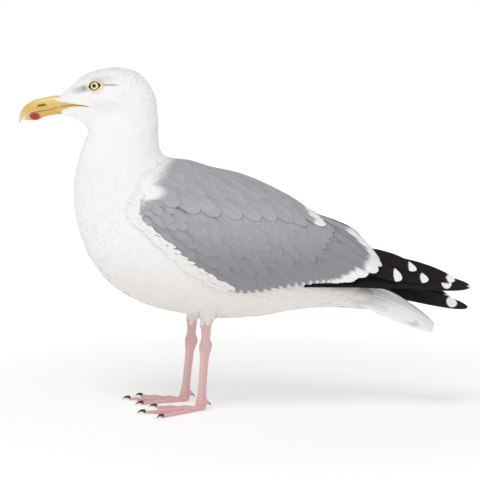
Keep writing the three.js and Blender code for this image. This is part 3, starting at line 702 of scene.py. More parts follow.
skin.data.materials.append(down_skin)
skin.data.materials.append(leg_skin)
face_bare = np.array([bare[list(f.vertices)].mean() > 0.5 for f in joined.polygons], np.int32)
joined.polygons.foreach_set("material_index", face_bare)
print("bare faces:", int(face_bare.sum()))

# %% [markdown]
# ## The folded wings' outline
# A folded wing is a second skin over the flank. It has rings of its own, and each ring is covered from the
# middle of the back round to the wing's lower edge. The right wing's hand hangs a little lower.

# %% Rings of the wing: back x z, belly x z, half width, edge angle in degrees
WING = np.array([
    [-96, 309, -207, 250, 53, 22], [-73, 300.5, -203, 215, 63, 67], [-56, 295.5, -197, 196, 66.5, 90],
    [-40, 290.5, -190, 178, 69.5, 95], [-5, 282.5, -165, 146, 72, 97], [28, 269, -128, 123, 70, 102],
    [56, 254, -85, 111, 65.5, 108], [80, 237.5, -35, 104, 58.5, 111], [104, 227.5, 15, 107, 52, 105],
    [127, 216, 62, 113, 46, 98], [144, 201.5, 98, 118, 40.5, 93], [157, 189, 128, 132, 35, 84],
    [167, 176, 152, 148, 29, 66],
])
MIDLINE = 0.25
DROP_START = 20
DROP = 0.115


def wing_place(side, t, share, lift=0.0):
    """Point of the wing's outer face: t from bend to tip, share from the back line to the lower edge."""
    t = np.asarray(t, float)
    edge = np.radians(along(WING[:, 5], t))
    place = ring_place(WING, t, edge * share, lift)
    place[..., 1] = np.maximum(place[..., 1], MIDLINE) * side
    if side == RIGHT:
        place[..., 2] -= np.maximum(0, place[..., 0] - DROP_START) * DROP * smooth(np.asarray(share) * 2)
    return place


samples_t, samples_share = np.meshgrid(np.linspace(0, 1, 90), np.linspace(0, 1, 40), indexing="ij")
wing_tree = KDTree(samples_t.size)
wing_samples = wing_place(LEFT, samples_t, samples_share).reshape(-1, 3)
for i, place in enumerate(wing_samples):
    wing_tree.insert(place, i)
wing_tree.balance()


def under_wing(points, margin=9.0):
    """1 where a point of the body is well covered by a folded wing."""
    covered = np.zeros(len(points))
    shares = samples_share.ravel()
    times = samples_t.ravel()
    for i, (x, y, z) in enumerate(points):
        _, nearest, distance = wing_tree.find((x, -abs(y), z))
        inner = shares[nearest] < 0.93 and times[nearest] > 0.1
        covered[i] = inner and distance < margin
    return covered


# %% [markdown]
# ## One feather, and a coat grown by Geometry Nodes
# A small body feather is a thin vane with a frayed end. Thousands are needed, so one Geometry Nodes tree
# grows them: it scatters roots over a bed, turns each feather to the lie of the plumage, lifts its tip a
# little, and finally makes everything real. Each feather also gets a tiny patch of a UV map at its root's
# place on the bed, which is where colours can be baked.

# %% The small feather: a closed vane of a few dozen faces
FEATHER_WIDTH = 0.62  # for a length of 1
FEATHER_THICKNESS = 0.035


def small_feather(name, seed, width=FEATHER_WIDTH, fray=0.16):
    """A vane along +Y with a ragged tip: closed, unit length."""
    r = np.random.default_rng(seed)
    side_v = np.array([0.0, 0.3, 0.62, 0.86])
    side_w = np.array([0.10, 0.42, 0.5, 0.36]) * width
    left = [(-w * r.uniform(0.92, 1.08), v) for v, w in zip(side_v, side_w)]
    right = [(w * r.uniform(0.92, 1.08), v) for v, w in zip(side_v[::-1], side_w[::-1])]
    tip = []
    for k, u in enumerate(np.linspace(-0.3, 0.3, 7)):
        notch = fray * r.uniform(0.6, 1.2) if k % 2 else 0.0
        tip.append((u * width, 1.0 - 1.2 * u * u - notch + r.uniform(-0.03, 0.03)))
    outline = np.array(left + tip + right)
    bend = lambda p: -0.10 * p[:, 1] ** 2 - 0.55 * p[:, 0] ** 2
    n = len(outline)
    spine = np.array([[0, 0.3], [0, 0.72]])
    flat = np.concatenate([outline, spine])
    top = np.column_stack([flat, bend(flat) + np.r_[np.zeros(n), 0.5, 0.5] * FEATHER_THICKNESS])
    under = np.column_stack([flat, bend(flat) - FEATHER_THICKNESS * 0.5])
    points = np.concatenate([top, under[n:]])
    faces = []
    for i in range(n):
        j = (i + 1) % n
        middle = (outline[i, 1] + outline[j, 1]) / 2
        hub = n if middle < 0.5 else n + 1
        faces.append((j, i, hub))
        faces.append((i, j, hub + 2))
    near_root = [(outline[i, 1] + outline[(i + 1) % n, 1]) / 2 < 0.5 for i in range(n)]
    for i in [i for i in range(n) if near_root[i - 1] != near_root[i]]:
        faces.append((i, n, n + 1))
        faces.append((i, n + 3, n + 2))
    mesh = bpy.data.meshes.new(name)
    mesh.from_pydata(points.tolist(), [], faces)
    fix = bmesh.new()
    fix.from_mesh(mesh)
    bmesh.ops.recalc_face_normals(fix, faces=fix.faces)
    fix.to_mesh(mesh)
    fix.free()
    vane_points = np.array([[v.co.x, v.co.y, 0] for v in mesh.vertices], np.float32)
    mesh.attributes.new("vane", "FLOAT_VECTOR", "POINT").data.foreach_set("vector", vane_points.ravel())
    feather = bpy.data.objects.new(name, mesh)
    feather.hide_render = True
    return feather


feather_kinds = [small_feather("frayed_feather_%d" % seed, seed) for seed in (1, 2, 3)]
print("one feather:", sum(len(f.vertices) - 2 for f in feather_kinds[0].data.polygons), "triangles")

# %% The coat's node tree
coat_tree = bpy.data.node_groups.new("plumage", "GeometryNodeTree")
face_in = coat_tree.interface
face_in.new_socket("Bed", in_out="INPUT", socket_type="NodeSocketGeometry")
inputs = {}
for input_name, value in (("Spacing", 0.003), ("Length scale", 1.0), ("Tip lift", 0.12), ("Disorder", 0.12)):
    socket = face_in.new_socket(input_name, in_out="INPUT", socket_type="NodeSocketFloat")
    socket.default_value = value
    inputs[input_name] = socket.identifier
socket = face_in.new_socket("Seed", in_out="INPUT", socket_type="NodeSocketInt")
inputs["Seed"] = socket.identifier
socket = face_in.new_socket("Finish", in_out="INPUT", socket_type="NodeSocketMaterial")
inputs["Finish"] = socket.identifier
face_in.new_socket("Coat", in_out="OUTPUT", socket_type="NodeSocketGeometry")
given = add(coat_tree, "NodeGroupInput").outputs


def stored(name, kind="FLOAT"):
    """A value kept on the bed's points."""
    return add(coat_tree, "GeometryNodeInputNamedAttribute", {"data_type": kind}, {"Name": name}).outputs[0]


def chance(low, high, salt):
    """A steady random number for each feather."""
    seed = add(coat_tree, "ShaderNodeMath", {"operation": "ADD"}, {0: given["Seed"], 1: float(salt)}).outputs[0]
    node = add(coat_tree, "FunctionNodeRandomValue", {"data_type": "FLOAT"})
    by_id = {s.identifier: s for s in node.inputs}
    for identifier, value in (("Min_001", low), ("Max_001", high)):
        if isinstance(value, bpy.types.NodeSocket):
            coat_tree.links.new(value, by_id[identifier])
        else:
            by_id[identifier].default_value = value
    coat_tree.links.new(seed, by_id["Seed"])
    return {s.identifier: s for s in node.outputs}["Value_001"]


scatter = add(coat_tree, "GeometryNodeDistributePointsOnFaces", {"distribute_method": "POISSON"},
              {"Mesh": given["Bed"], "Distance Min": given["Spacing"], "Density Max": 400000.0,
               "Density Factor": stored("cover"), "Seed": given["Seed"]})
facing = add(coat_tree, "FunctionNodeAxesToRotation", {"primary_axis": "Z", "secondary_axis": "Y"},
             {"Primary Axis": scatter.outputs["Normal"], "Secondary Axis": stored("lie", "FLOAT_VECTOR")})
wild = add(coat_tree, "ShaderNodeMath", {"operation": "MULTIPLY"}, {0: given["Disorder"], 1: -1.0}).outputs[0]
lift = add(coat_tree, "ShaderNodeMath", {"operation": "MULTIPLY"}, {0: given["Tip lift"], 1: chance(0.7, 1.35, 1)})
turn = add(coat_tree, "ShaderNodeCombineXYZ", None,
           {"X": lift.outputs[0], "Y": chance(wild, given["Disorder"], 2), "Z": chance(wild, given["Disorder"], 3)})
bent = add(coat_tree, "FunctionNodeEulerToRotation", None, {"Euler": turn.outputs[0]})
turned = add(coat_tree, "FunctionNodeRotateRotation", {"rotation_space": "LOCAL"},
             {"Rotation": facing.outputs[0], "Rotate By": bent.outputs[0]})
long = add(coat_tree, "ShaderNodeMath", {"operation": "MULTIPLY"}, {0: stored("reach"), 1: given["Length scale"]})
long = add(coat_tree, "ShaderNodeMath", {"operation": "MULTIPLY"}, {0: long.outputs[0], 1: chance(0.82, 1.2, 4)})
pool = add(coat_tree, "GeometryNodeJoinGeometry")
for kind in feather_kinds:
    one = add(coat_tree, "GeometryNodeObjectInfo", None, {"Object": kind, "As Instance": True})
    coat_tree.links.new(one.outputs["Geometry"], pool.inputs[0])
tagged = add(coat_tree, "GeometryNodeStoreNamedAttribute", {"data_type": "FLOAT", "domain": "POINT"},
             {"Geometry": scatter.outputs["Points"], "Name": "tint"})
value_in = {s.identifier: s for s in tagged.inputs}
coat_tree.links.new(chance(0.0, 1.0, 5), next(s for s in tagged.inputs if s.name == "Value" and s.enabled))
pick = add(coat_tree, "ShaderNodeMath", {"operation": "FLOOR"}, {0: chance(0.0, 2.999, 6)})
grown = add(coat_tree, "GeometryNodeInstanceOnPoints", None,
            {"Points": tagged.outputs[0], "Instance": pool.outputs[0], "Pick Instance": True,
             "Instance Index": pick.outputs[0], "Rotation": turned.outputs[0], "Scale": long.outputs[0]})
real = add(coat_tree, "GeometryNodeRealizeInstances", None, {"Geometry": grown.outputs[0]})
PATCH = 0.003
patch = add(coat_tree, "ShaderNodeVectorMath", {"operation": "SCALE"},
            {0: stored("vane", "FLOAT_VECTOR"), "Scale": PATCH})
bake_place = add(coat_tree, "ShaderNodeVectorMath", {"operation": "ADD"},
                 {0: stored("root_uv", "FLOAT_VECTOR"), 1: patch.outputs[0]})
mapped = add(coat_tree, "GeometryNodeStoreNamedAttribute", {"data_type": "FLOAT2", "domain": "CORNER"},
             {"Geometry": real.outputs[0], "Name": "OFBake"})
coat_tree.links.new(bake_place.outputs[0], next(s for s in mapped.inputs if s.name == "Value" and s.enabled))
dressed = add(coat_tree, "GeometryNodeSetMaterial", None,
              {"Geometry": mapped.outputs[0], "Material": given["Finish"]})
add(coat_tree, "NodeGroupOutput", None, {0: dressed.outputs[0]})


def grow_coat(name, bed, finish, **sizes):
    """Runs the tree on a bed and keeps the result as a plain mesh. The bed is removed."""
    modifier = bed.modifiers.new("plumage", "NODES")
    modifier.node_group = coat_tree
    modifier[inputs["Finish"]] = finish
    for input_name, value in sizes.items():
        modifier[inputs[input_name.replace("_", " ")]] = value
    mesh = evaluated_mesh(bed)
    bpy.data.objects.remove(bed)
    coat = bpy.data.objects.new(name, mesh)
    bpy.context.scene.collection.objects.link(coat)
    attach(coat, "root")
    print(name, "%d triangles" % sum(len(f.vertices) - 2 for f in mesh.polygons))
    return coat


# %% Beds of the coat
GAPE_END = -184.0
gape_x = np.array([-229.0, -222.0, -216.0, -207.0, -198.0, -190.0, GAPE_END])
gape_upper = np.array([368.2, 367.8, 367.2, 366.3, 365.2, 364.2, 362.6])
gape_lower = np.array([353.6, 354.4, 358.4, 361.5, 362.6, 362.8, 361.9])


def gape_top(x):
    """Height where the cheek's feathers meet the upper half of the bill."""
    return np.interp(x, gape_x, gape_upper)


def gape_bottom(x):
    """Height where the chin's feathers meet the lower half of the bill."""
    return np.interp(x, gape_x, gape_lower)


def body_bed(name, low, high, rings, reach_at, cover_at):
    """A stretch of the body's skin with the lie, length and cover of its feathers."""
    points, t, angle = body_grid(rings, 72, low, high)
    ahead, _, _ = body_grid(rings, 72, low + 0.01, high + 0.01)
    lie = unit(ahead - points + 1e-6)
    shape = points.shape[:2]
    faces = [(r * shape[1] + s, r * shape[1] + (s + 1) % shape[1], (r + 1) * shape[1] + (s + 1) % shape[1],
              (r + 1) * shape[1] + s) for r in range(shape[0] - 1) for s in range(shape[1])]
    flat_points = points.reshape(-1, 3)
    cover = cover_at(flat_points, t.ravel())
    for side in (LEFT, RIGHT):
        eye = EYE * [1, side, 1]
        away = (flat_points - eye + [2.2, 0, -0.4]) / [11.4, 14, 8.2]
        cover = cover * smooth((np.linalg.norm(away, axis=1) - 0.98) * 12)
    gape = (flat_points[:, 2] < gape_top(flat_points[:, 0]) + 0.6) & (flat_points[:, 2] > gape_bottom(flat_points[:, 0]) - 1.2)
    cover = cover * ~(gape & (flat_points[:, 0] < GAPE_END))
    share_u = 0.02 + 0.96 * (t - low) / (high - low)
    root_uv = np.stack([share_u, 0.02 + 0.96 * angle / (2 * math.pi), np.zeros(shape)], -1)
    bed = make_piece(name + "_bed", flat_points, faces, [], {
        "lie": lie.reshape(-1, 3), "reach": reach_at(t.ravel()) * MM, "cover": cover,
        "root_uv": root_uv.reshape(-1, 3)})
    check = bmesh.new()
    check.from_mesh(bed.data)
    bmesh.ops.recalc_face_normals(check, faces=check.faces)
    centre_out = sum((f.normal.dot(Vector((0, f.calc_center_median().y - SHIFT[1] * MM, 0))) for f in check.faces))
    if centre_out < 0:
        bmesh.ops.reverse_faces(check, faces=check.faces)
    check.to_mesh(bed.data)
    check.free()
    return bed


HEAD_END = 7.2 / 19  # the nape's ring
NECK_END = 10.0 / 19
BREAST_END = 13.5 / 19
head_bed = body_bed("head", 0.012, HEAD_END, 70, lambda t: 3.6 + 12 * t, lambda p, t: np.ones(len(p)))
head_coat = grow_coat("head_feathers", head_bed, white_coat, Spacing=0.0019, Tip_lift=0.10, Disorder=0.13, Seed=3)
neck_bed = body_bed("neck", HEAD_END - 0.022, NECK_END, 50, lambda t: 8 + 12 * (t - HEAD_END), lambda p, t: 1 - under_wing(p))
neck_coat = grow_coat("neck_feathers", neck_bed, white_coat, Spacing=0.0027, Tip_lift=0.10, Disorder=0.14, Seed=11)
breast_bed = body_bed("breast", NECK_END - 0.022, BREAST_END, 70, lambda t: 11 + 9 * (t - NECK_END),
                      lambda p, t: 1 - under_wing(p))
breast_coat = grow_coat("breast_feathers", breast_bed, white_coat, Spacing=0.0033, Tip_lift=0.09, Disorder=0.14, Seed=19)
belly_bed = body_bed("belly", BREAST_END - 0.024, 0.985, 70, lambda t: 13 + 8 * (t - BREAST_END),
                     lambda p, t: 1 - under_wing(p))
belly_coat = grow_coat("belly_feathers", belly_bed, white_coat, Spacing=0.0037, Tip_lift=0.08, Disorder=0.16, Seed=23)

# %% [markdown]
# ## Thighs
# The thighs carry soft short feathers that point down and end in a ragged cuff above the bare shank. They
# grow by the same tree, over a bed of their own on each thigh.

# %% Thigh feathers
for name, leg in LEGS.items():
    rows = thigh_stations(leg, 2.2)
    rings = limb_rings(rows, 30, 34)
    shape = rings.shape[:2]
    lie = np.gradient(rings, axis=0)
    faces = [(r * shape[1] + s, (r + 1) * shape[1] + s, (r + 1) * shape[1] + (s + 1) % shape[1],
              r * shape[1] + (s + 1) % shape[1]) for r in range(shape[0] - 1) for s in range(shape[1])]
    down_share, round_share = np.meshgrid(np.linspace(0.02, 0.98, shape[0]), np.linspace(0.02, 0.98, shape[1]), indexing="ij")
    cuff = leg["ankle"][2] + CUFF + 3.5 + 2.5 * np.sin(rings[..., 1] * 0.9) + 2.0 * np.sin(rings[..., 0] * 1.1)
    cover = np.where((rings[..., 2] < 135) & (rings[..., 2] > cuff), 1.0, 0.0)
    bed = make_piece("thigh_bed", rings.reshape(-1, 3), faces, [], {
        "lie": unit(lie).reshape(-1, 3), "reach": (11 - 4.5 * down_share).ravel() * MM, "cover": cover.ravel(),
        "root_uv": np.stack([down_share, round_share, np.zeros(shape)], -1).reshape(-1, 3)})
    inward = sum(f.normal.dot(f.center - Vector(to_frame(rings.mean((0, 1))))) for f in bed.data.polygons) < 0
    if inward:
        bed.data.flip_normals()
    grow_coat("thigh_feathers_" + name, bed, white_coat, Spacing=0.0026, Tip_lift=0.12, Disorder=0.2, Seed=31)

# %% [markdown]
# ## Large feathers
# Feathers of the wing and tail are big enough to show their own form: a stiff shaft, two webs of barbs, a
# rounded tip. One builder makes a whole set at once from three arrays along each feather: its middle line,
# the direction across it and the direction away from the bird. Each feather is closed, and its upper and
# lower faces get their own places on the OFBake map.

# %% The builder of large feathers
VANE_COLUMNS = np.array([-1.0, -0.62, -0.06, 0.06, 0.62, 1.0])
SHAFT_RISE = 0.16


def vane_outline(v, blunt=0.62, root=0.55):
    """Half width along a feather, 1 at its widest: a narrow root, straight edges and a rounded tip."""
    tip = np.sqrt(np.clip(1 - np.clip((v - blunt) / (1 - blunt), 0, 1) ** 2.3, 0, 1))
    return np.maximum(tip, 0.03) * (root + (1 - root) * smooth(v / 0.3))


def vane_steps(steps):
    """Places along a feather from 0 to 1, closer together towards the tip so that it comes out round."""
    return 1 - (1 - np.linspace(0, 1, steps)) ** 1.6


def large_feathers(name, middle, across, outward, half, materials, slot, values=None, blunt=0.62, root=0.55,
                   thickness=0.45, camber=0.10):
    """Closed feathers. middle, across, outward: (feathers, steps, 3); half: (feathers,); in bird millimetres."""
    feathers, steps = middle.shape[:2]
    v = vane_steps(steps)
    width = half[:, None] * vane_outline(v, blunt, root)[None, :]
    u = VANE_COLUMNS
    side_way = across[:, :, None, :] * (width[:, :, None] * u)[..., None]
    sink = (width[:, :, None] * camber) * np.abs(u) ** 2
    ridge = SHAFT_RISE * (np.abs(u) < 0.1) * (1 - 0.7 * v)[None, :, None]
    top = middle[:, :, None, :] + side_way + outward[:, :, None, :] * (ridge - sink)[..., None]
    thin = thickness * (1 - 0.5 * v)[None, :, None] * np.where(np.abs(u) > 0.9, 0.35, 1.0)
    under = top - outward[:, :, None, :] * (thin + 0 * sink)[..., None]
    cols = len(u)
    per = steps * cols
    points = np.concatenate([top.reshape(feathers, per, 3), under.reshape(feathers, per, 3)], 1)
    faces = []
    corners = []
    for i in range(steps - 1):
        for j in range(cols - 1):
            a = i * cols + j
            quad = (a, a + 1, a + cols + 1, a + cols)
            faces.append(quad)
            corners.append(0)
            faces.append(tuple(per + k for k in quad[::-1]))
            corners.append(1)
    rim = [i * cols for i in range(steps)] + [(steps - 1) * cols + j for j in range(1, cols)]
    rim += [i * cols + cols - 1 for i in range(steps - 2, -1, -1)] + list(range(cols - 2, 0, -1))
    for a, b in zip(rim, rim[1:] + rim[:1]):
        faces.append((a, per + a, per + b, b)[::-1])
        corners.append(0)
    all_faces = []
    for f in range(feathers):
        flipped = np.dot(np.cross(across[f, 1], middle[f, 2] - middle[f, 1]), outward[f, 1]) < 0
        for face in faces:
            moved = tuple(f * 2 * per + k for k in face)
            all_faces.append(moved[::-1] if flipped else moved)
    grid_u = np.tile(np.tile(u, steps), 2)
    grid_v = np.tile(np.repeat(v, cols), 2)
    vane_values = np.tile(np.stack([grid_u, grid_v, 0 * grid_u], -1), (feathers, 1))
    tints = np.repeat(rng.uniform(0, 1, feathers), 2 * per)
    length = np.linalg.norm(np.diff(middle, axis=1), axis=2).sum(1)
    sizes = np.stack([np.repeat(half, 2 * per), np.repeat(length, 2 * per), np.zeros(feathers * 2 * per)], -1)
    attributes = {"vane": vane_values, "tint": tints, "vane_mm": sizes}
    for key_name, per_feather in (values or {}).items():
        attributes[key_name] = np.repeat(np.asarray(per_feather, float), 2 * per)
    piece = make_piece(name, points.reshape(-1, 3), all_faces, materials, attributes)
    cells = math.ceil(math.sqrt(feathers))
    cell = 1.0 / cells
    loops = np.zeros(len(piece.data.loops), np.int64)
    piece.data.loops.foreach_get("vertex_index", loops)
    f = loops // (2 * per)
    below = (loops % (2 * per)) >= per
    local_u = vane_values[loops, 0] * 0.21 + np.where(below, 0.74, 0.26)
    local_v = 0.06 + 0.88 * vane_values[loops, 1]
    uv = np.stack([(f % cells + local_u) * cell, (f // cells + local_v) * cell], -1)
    piece.data.uv_layers.new(name="OFBake").data.foreach_set("uv", uv.astype(np.float32).ravel())
    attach(piece, "root")
    print(name, feathers, "feathers,", sum(len(p.vertices) - 2 for p in piece.data.polygons), "triangles")
    return piece


# %% [markdown]
# ## Grey, black and white vanes
# The mantle's blue-grey is a structural colour: the barbs scatter light, so it is matt and even, with paler
# worn edges. Black primaries are rich in melanin, which makes them harder wearing and slightly glossy. Each
# feather says, by an attribute, from where along its length it turns white.

# %% Materials of the wing and tail
def vane_material(name, main, worn, root_tone, roughness, sheen, soft=0.06, low_painted_shade=None, white_front=False):
    """A feather's vane: worn edge, darker root, pale shaft, barbs and a white end."""
    finish, tree, out = material(name)
    vane = add(tree, "ShaderNodeAttribute", {"attribute_name": "vane"}).outputs["Vector"]
    tint = add(tree, "ShaderNodeAttribute", {"attribute_name": "tint"}).outputs["Fac"]
    white_from = add(tree, "ShaderNodeAttribute", {"attribute_name": "white_from"}).outputs["Fac"]
    size = add(tree, "ShaderNodeAttribute", {"attribute_name": "vane_mm"}).outputs["Vector"]
    where = add(tree, "ShaderNodeTexCoord").outputs["Object"]
    part = add(tree, "ShaderNodeSeparateXYZ", None, {0: vane})
    aside = add(tree, "ShaderNodeMath", {"operation": "ABSOLUTE"}, {0: part.outputs["X"]}).outputs[0]
    far = part.outputs["Y"]
    in_mm = add(tree, "ShaderNodeVectorMath", {"operation": "MULTIPLY"}, {0: vane, 1: size}).outputs[0]
    mm_part = add(tree, "ShaderNodeSeparateXYZ", None, {0: in_mm})
    mm_aside = add(tree, "ShaderNodeMath", {"operation": "ABSOLUTE"}, {0: mm_part.outputs["X"]}).outputs[0]
    slant = add(tree, "ShaderNodeMath", {"operation": "MULTIPLY_ADD"}, {0: mm_aside, 1: -1.1, 2: mm_part.outputs["Y"]})
    barb_line = add(tree, "ShaderNodeCombineXYZ", None, {"X": slant.outputs[0], "Y": tint})
    barb = add(tree, "ShaderNodeTexNoise", {"noise_dimensions": "2D"},
               {"Vector": barb_line.outputs[0], "Scale": 0.9, "Detail": 2.0, "Roughness": 0.6}).outputs[0]
    mottle = add(tree, "ShaderNodeTexNoise", None, {"Vector": where, "Scale": 1 / (22 * MM), "Detail": 3.0}).outputs[0]
    colour = tinted(tree, mottle, linear(main), linear(root_tone), 0.35)
    colour = tinted(tree, tint, colour, linear(worn), 0.30)
    streak = add(tree, "ShaderNodeMapRange", None, {"Value": barb, "From Min": 0.35, "From Max": 0.75}).outputs[0]
    colour = tinted(tree, streak, colour, linear(worn), 0.28)
    rootward = add(tree, "ShaderNodeMapRange", None,
                   {"Value": far, "From Min": 0.2, "From Max": 0.7, "To Min": 1.0, "To Max": 0.0}).outputs[0]
    colour = tinted(tree, rootward, colour, linear(root_tone), 0.5)
    tipward = add(tree, "ShaderNodeMapRange", {"interpolation_type": "SMOOTHSTEP"},
                  {"Value": far, "From Min": 0.86, "From Max": 0.99}).outputs[0]
    sideward = add(tree, "ShaderNodeMapRange", {"interpolation_type": "SMOOTHSTEP"},
                   {"Value": aside, "From Min": 0.8, "From Max": 1.0}).outputs[0]
    half_way = add(tree, "ShaderNodeMapRange", None, {"Value": far, "From Min": 0.3, "From Max": 0.8}).outputs[0]
    sideward = add(tree, "ShaderNodeMath", {"operation": "MULTIPLY"}, {0: sideward, 1: half_way}).outputs[0]
    rim = add(tree, "ShaderNodeMath", {"operation": "MAXIMUM"}, {0: tipward, 1: sideward}).outputs[0]
    outlined = add(tree, "ShaderNodeAttribute", {"attribute_name": "outlined"}).outputs["Fac"]
    rim = add(tree, "ShaderNodeMath", {"operation": "MULTIPLY"}, {0: rim, 1: outlined}).outputs[0]
    colour = tinted(tree, rim, colour, linear(worn), 0.6)
    # Painted shade: the wing's lower part is darkened by height, as it turns down away from the light.
    if low_painted_shade:
        height = add(tree, "ShaderNodeSeparateXYZ", None, {0: where}).outputs["Z"]
        lowness = add(tree, "ShaderNodeMapRange", {"interpolation_type": "SMOOTHSTEP"},
                      {"Value": height, "From Min": 165 * MM, "From Max": 245 * MM, "To Min": 1.0, "To Max": 0.0})
        colour = tinted(tree, lowness.outputs[0], colour, linear(low_painted_shade), 0.66)
    wavy = add(tree, "ShaderNodeMath", {"operation": "MULTIPLY_ADD"}, {0: barb, 1: 0.06, 2: white_from}).outputs[0]
    rounded_edge = add(tree, "ShaderNodeMath", {"operation": "POWER"}, {0: aside, 1: 2.0}).outputs[0]
    reach = add(tree, "ShaderNodeMath", {"operation": "MULTIPLY_ADD"}, {0: rounded_edge, 1: -0.03, 2: far}).outputs[0]
    past = add(tree, "ShaderNodeMath", {"operation": "SUBTRACT"}, {0: reach, 1: wavy}).outputs[0]
    white = add(tree, "ShaderNodeMapRange", {"interpolation_type": "SMOOTHSTEP"},
                {"Value": past, "From Min": -0.03, "From Max": -0.03 + soft}).outputs[0]
    mirror = add(tree, "ShaderNodeAttribute", {"attribute_name": "mirror_at"}).outputs["Fac"]
    along_vane = add(tree, "ShaderNodeMath", {"operation": "SUBTRACT"}, {0: far, 1: mirror}).outputs[0]
    off_mirror = add(tree, "ShaderNodeCombineXYZ", None, {"X": along_vane, "Y": part.outputs["X"]}).outputs[0]
    oval = add(tree, "ShaderNodeVectorMath", {"operation": "MULTIPLY_ADD"},
               {0: off_mirror, 1: [1 / 0.048, 1 / 0.95, 0.0], 2: [0.0, -0.2, 0.0]}).outputs[0]
    off_size = add(tree, "ShaderNodeVectorMath", {"operation": "LENGTH"}, {0: oval}).outputs["Value"]
    in_mirror = add(tree, "ShaderNodeMapRange", {"interpolation_type": "SMOOTHSTEP"},
                    {"Value": off_size, "From Min": 0.85, "From Max": 1.05, "To Min": 1.0, "To Max": 0.0}).outputs[0]
    white = add(tree, "ShaderNodeMath", {"operation": "MAXIMUM"}, {0: white, 1: in_mirror}).outputs[0]
    if white_front:
        front = shoulder_white(tree, where)
        white = add(tree, "ShaderNodeMath", {"operation": "MAXIMUM"}, {0: white, 1: front}).outputs[0]
    white_tone = tinted(tree, barb, linear("F8F8F7"), linear("E9E7E6"), 0.5)
    colour = tinted(tree, white, colour, white_tone)
    on_shaft = add(tree, "ShaderNodeMapRange", None,
                   {"Value": aside, "From Min": 0.03, "From Max": 0.09, "To Min": 1.0, "To Max": 0.0}).outputs[0]
    shaft_tone = tinted(tree, white, linear(root_tone), linear("D8D2CA"))
    colour = tinted(tree, on_shaft, colour, shaft_tone, 0.5)
    surface(tree, out, colour, roughness, barb, 0.35, 0.0003, Specular_IOR_Level=0.18, Sheen_Weight=sheen)
    return finish


# The last grey of the mantle feathers is painted shade for the wing's lower part.
grey_vanes = vane_material("grey_mantle_feathers", "AEABB0", "C0BDC2", "9D9A9F", 0.85, 0.1, 0.14, "7C797E", True)
black_vanes = vane_material("black_primary_feathers", "120E0E", "2C2421", "0D0A0A", 0.6, 0.0, 0.02)
white_vanes = vane_material("white_tail_feathers", "FBFBFB", "FDFDFD", "F1F0EE", 0.82, 0.1)

# %% [markdown]
# ## The folded wing
# Under the feathers lies a closed grey shell, so that no gap opens on the back or from below. Then the
# feathers go on in their real order, from the tail end forwards: secondaries, coverts in rows that shorten
# towards the bend, and over all of them the long scapulars and the mantle. Each feather follows the curve of
# the wing, and lies at the angle that its tract has on the bird.

# %% Shell of each wing
SHELL_DEPTH = 2.4
SHELL_STEPS = 90
SHELL_SIDES = 40
NO_WHITE = 2.0
SCAPULAR_EDGE_T = [0.06, 0.15, 0.24, 0.33, 0.42, 0.51, 0.60, 0.69, 0.80]
SCAPULAR_EDGE = [0.90, 0.80, 0.745, 0.70, 0.57, 0.42, 0.32, 0.2, 0.1]


def scapular_edge(t):
    """Share of the wing at which the scapulars end."""
    return np.interp(t, SCAPULAR_EDGE_T, SCAPULAR_EDGE)


FRONT_SINK = 6.0
EDGE_SINK = 4.3


def edge_sink(t, share):
    """How far the wing's front, and the front of its lower edge, dip under the body's plumage."""
    front = 1 - smooth(t / 0.12)
    below = smooth((share - 0.85) / 0.15) * (1 - smooth((t - 0.40) / 0.16))
    return np.maximum(FRONT_SINK * front, EDGE_SINK * below)


def wing_shell(side):
    """A closed sheet over the flank, thinned at its edges."""
    rings = []
    for t in np.linspace(0.012, 0.955, SHELL_STEPS):
        shares = np.linspace(0, 0.97, SHELL_SIDES)
        near_tip = smooth(min(t * 7, (1 - t) * 5))
        near_edge = smooth((1 - shares) * 5)
        thickness = 1.0 + 2.2 * near_tip * near_edge
        times = np.full(SHELL_SIDES, t)
        sink = edge_sink(times, shares)
        outer = wing_place(side, times, shares, -SHELL_DEPTH * (0.6 + 0.4 * near_edge) - sink)
        inner = wing_place(side, times, shares, -SHELL_DEPTH - thickness - sink)
        rings.append(np.concatenate([outer, inner[::-1]]))
    return tube(rings)


# %% Where a feather's middle line runs over the wing
FEATHER_STEPS = 10
WING_HEART = np.array([10.0, 0.0, 190.0])  # a place inside the bird: the wing's faces look away from it


def lay_feathers(side, tip_t, tip_share, length, down, lift_root, lift_tip):
    """Walks each feather over the wing from its tip back to its root. `down` is its slope seen from the side."""
    t = np.array(tip_t, float)
    share = np.array(tip_share, float)
    slope = np.radians(down)
    wanted = np.stack([np.cos(slope), 0 * slope, -np.sin(slope)], -1)
    middle, across, outward = [], [], []
    small = 0.004
    places = vane_steps(FEATHER_STEPS)[::-1]
    for step in range(FEATHER_STEPS):
        along_t = (wing_place(side, t + small, share) - wing_place(side, t - small, share)) / (2 * small)
        inside = np.clip(share, small, 1.4)
        along_s = (wing_place(side, t, inside + small) - wing_place(side, t, inside - small)) / (2 * small)
        normal = unit(np.cross(along_t, along_s))
        place = wing_place(side, t, np.maximum(share, 0.0))
        normal *= np.sign(np.einsum("ij,ij->i", normal, place - WING_HEART))[:, None]
        ahead = unit(wanted - normal * np.einsum("ij,ij->i", wanted, normal)[:, None])
        root_share = 1 - places[step]
        lift = mixed(lift_tip, lift_root, root_share ** 1.2)
        middle.append(place + normal * (lift - edge_sink(t, share))[:, None])
        across.append(unit(np.cross(normal, ahead)))
        outward.append(normal)
        metric = np.stack([along_t, along_s], -1)
        pace = (-length * (places[step] - places[min(step + 1, FEATHER_STEPS - 1)]))[:, None] * ahead
        move = np.stack([np.linalg.lstsq(m, p, rcond=None)[0] for m, p in zip(metric, pace)])
        t = np.clip(t + move[:, 0], 0.006, 0.996)
        share = np.maximum(share + move[:, 1], 0.0)
    return tuple(np.stack(part[::-1], 1) for part in (middle, across, outward))


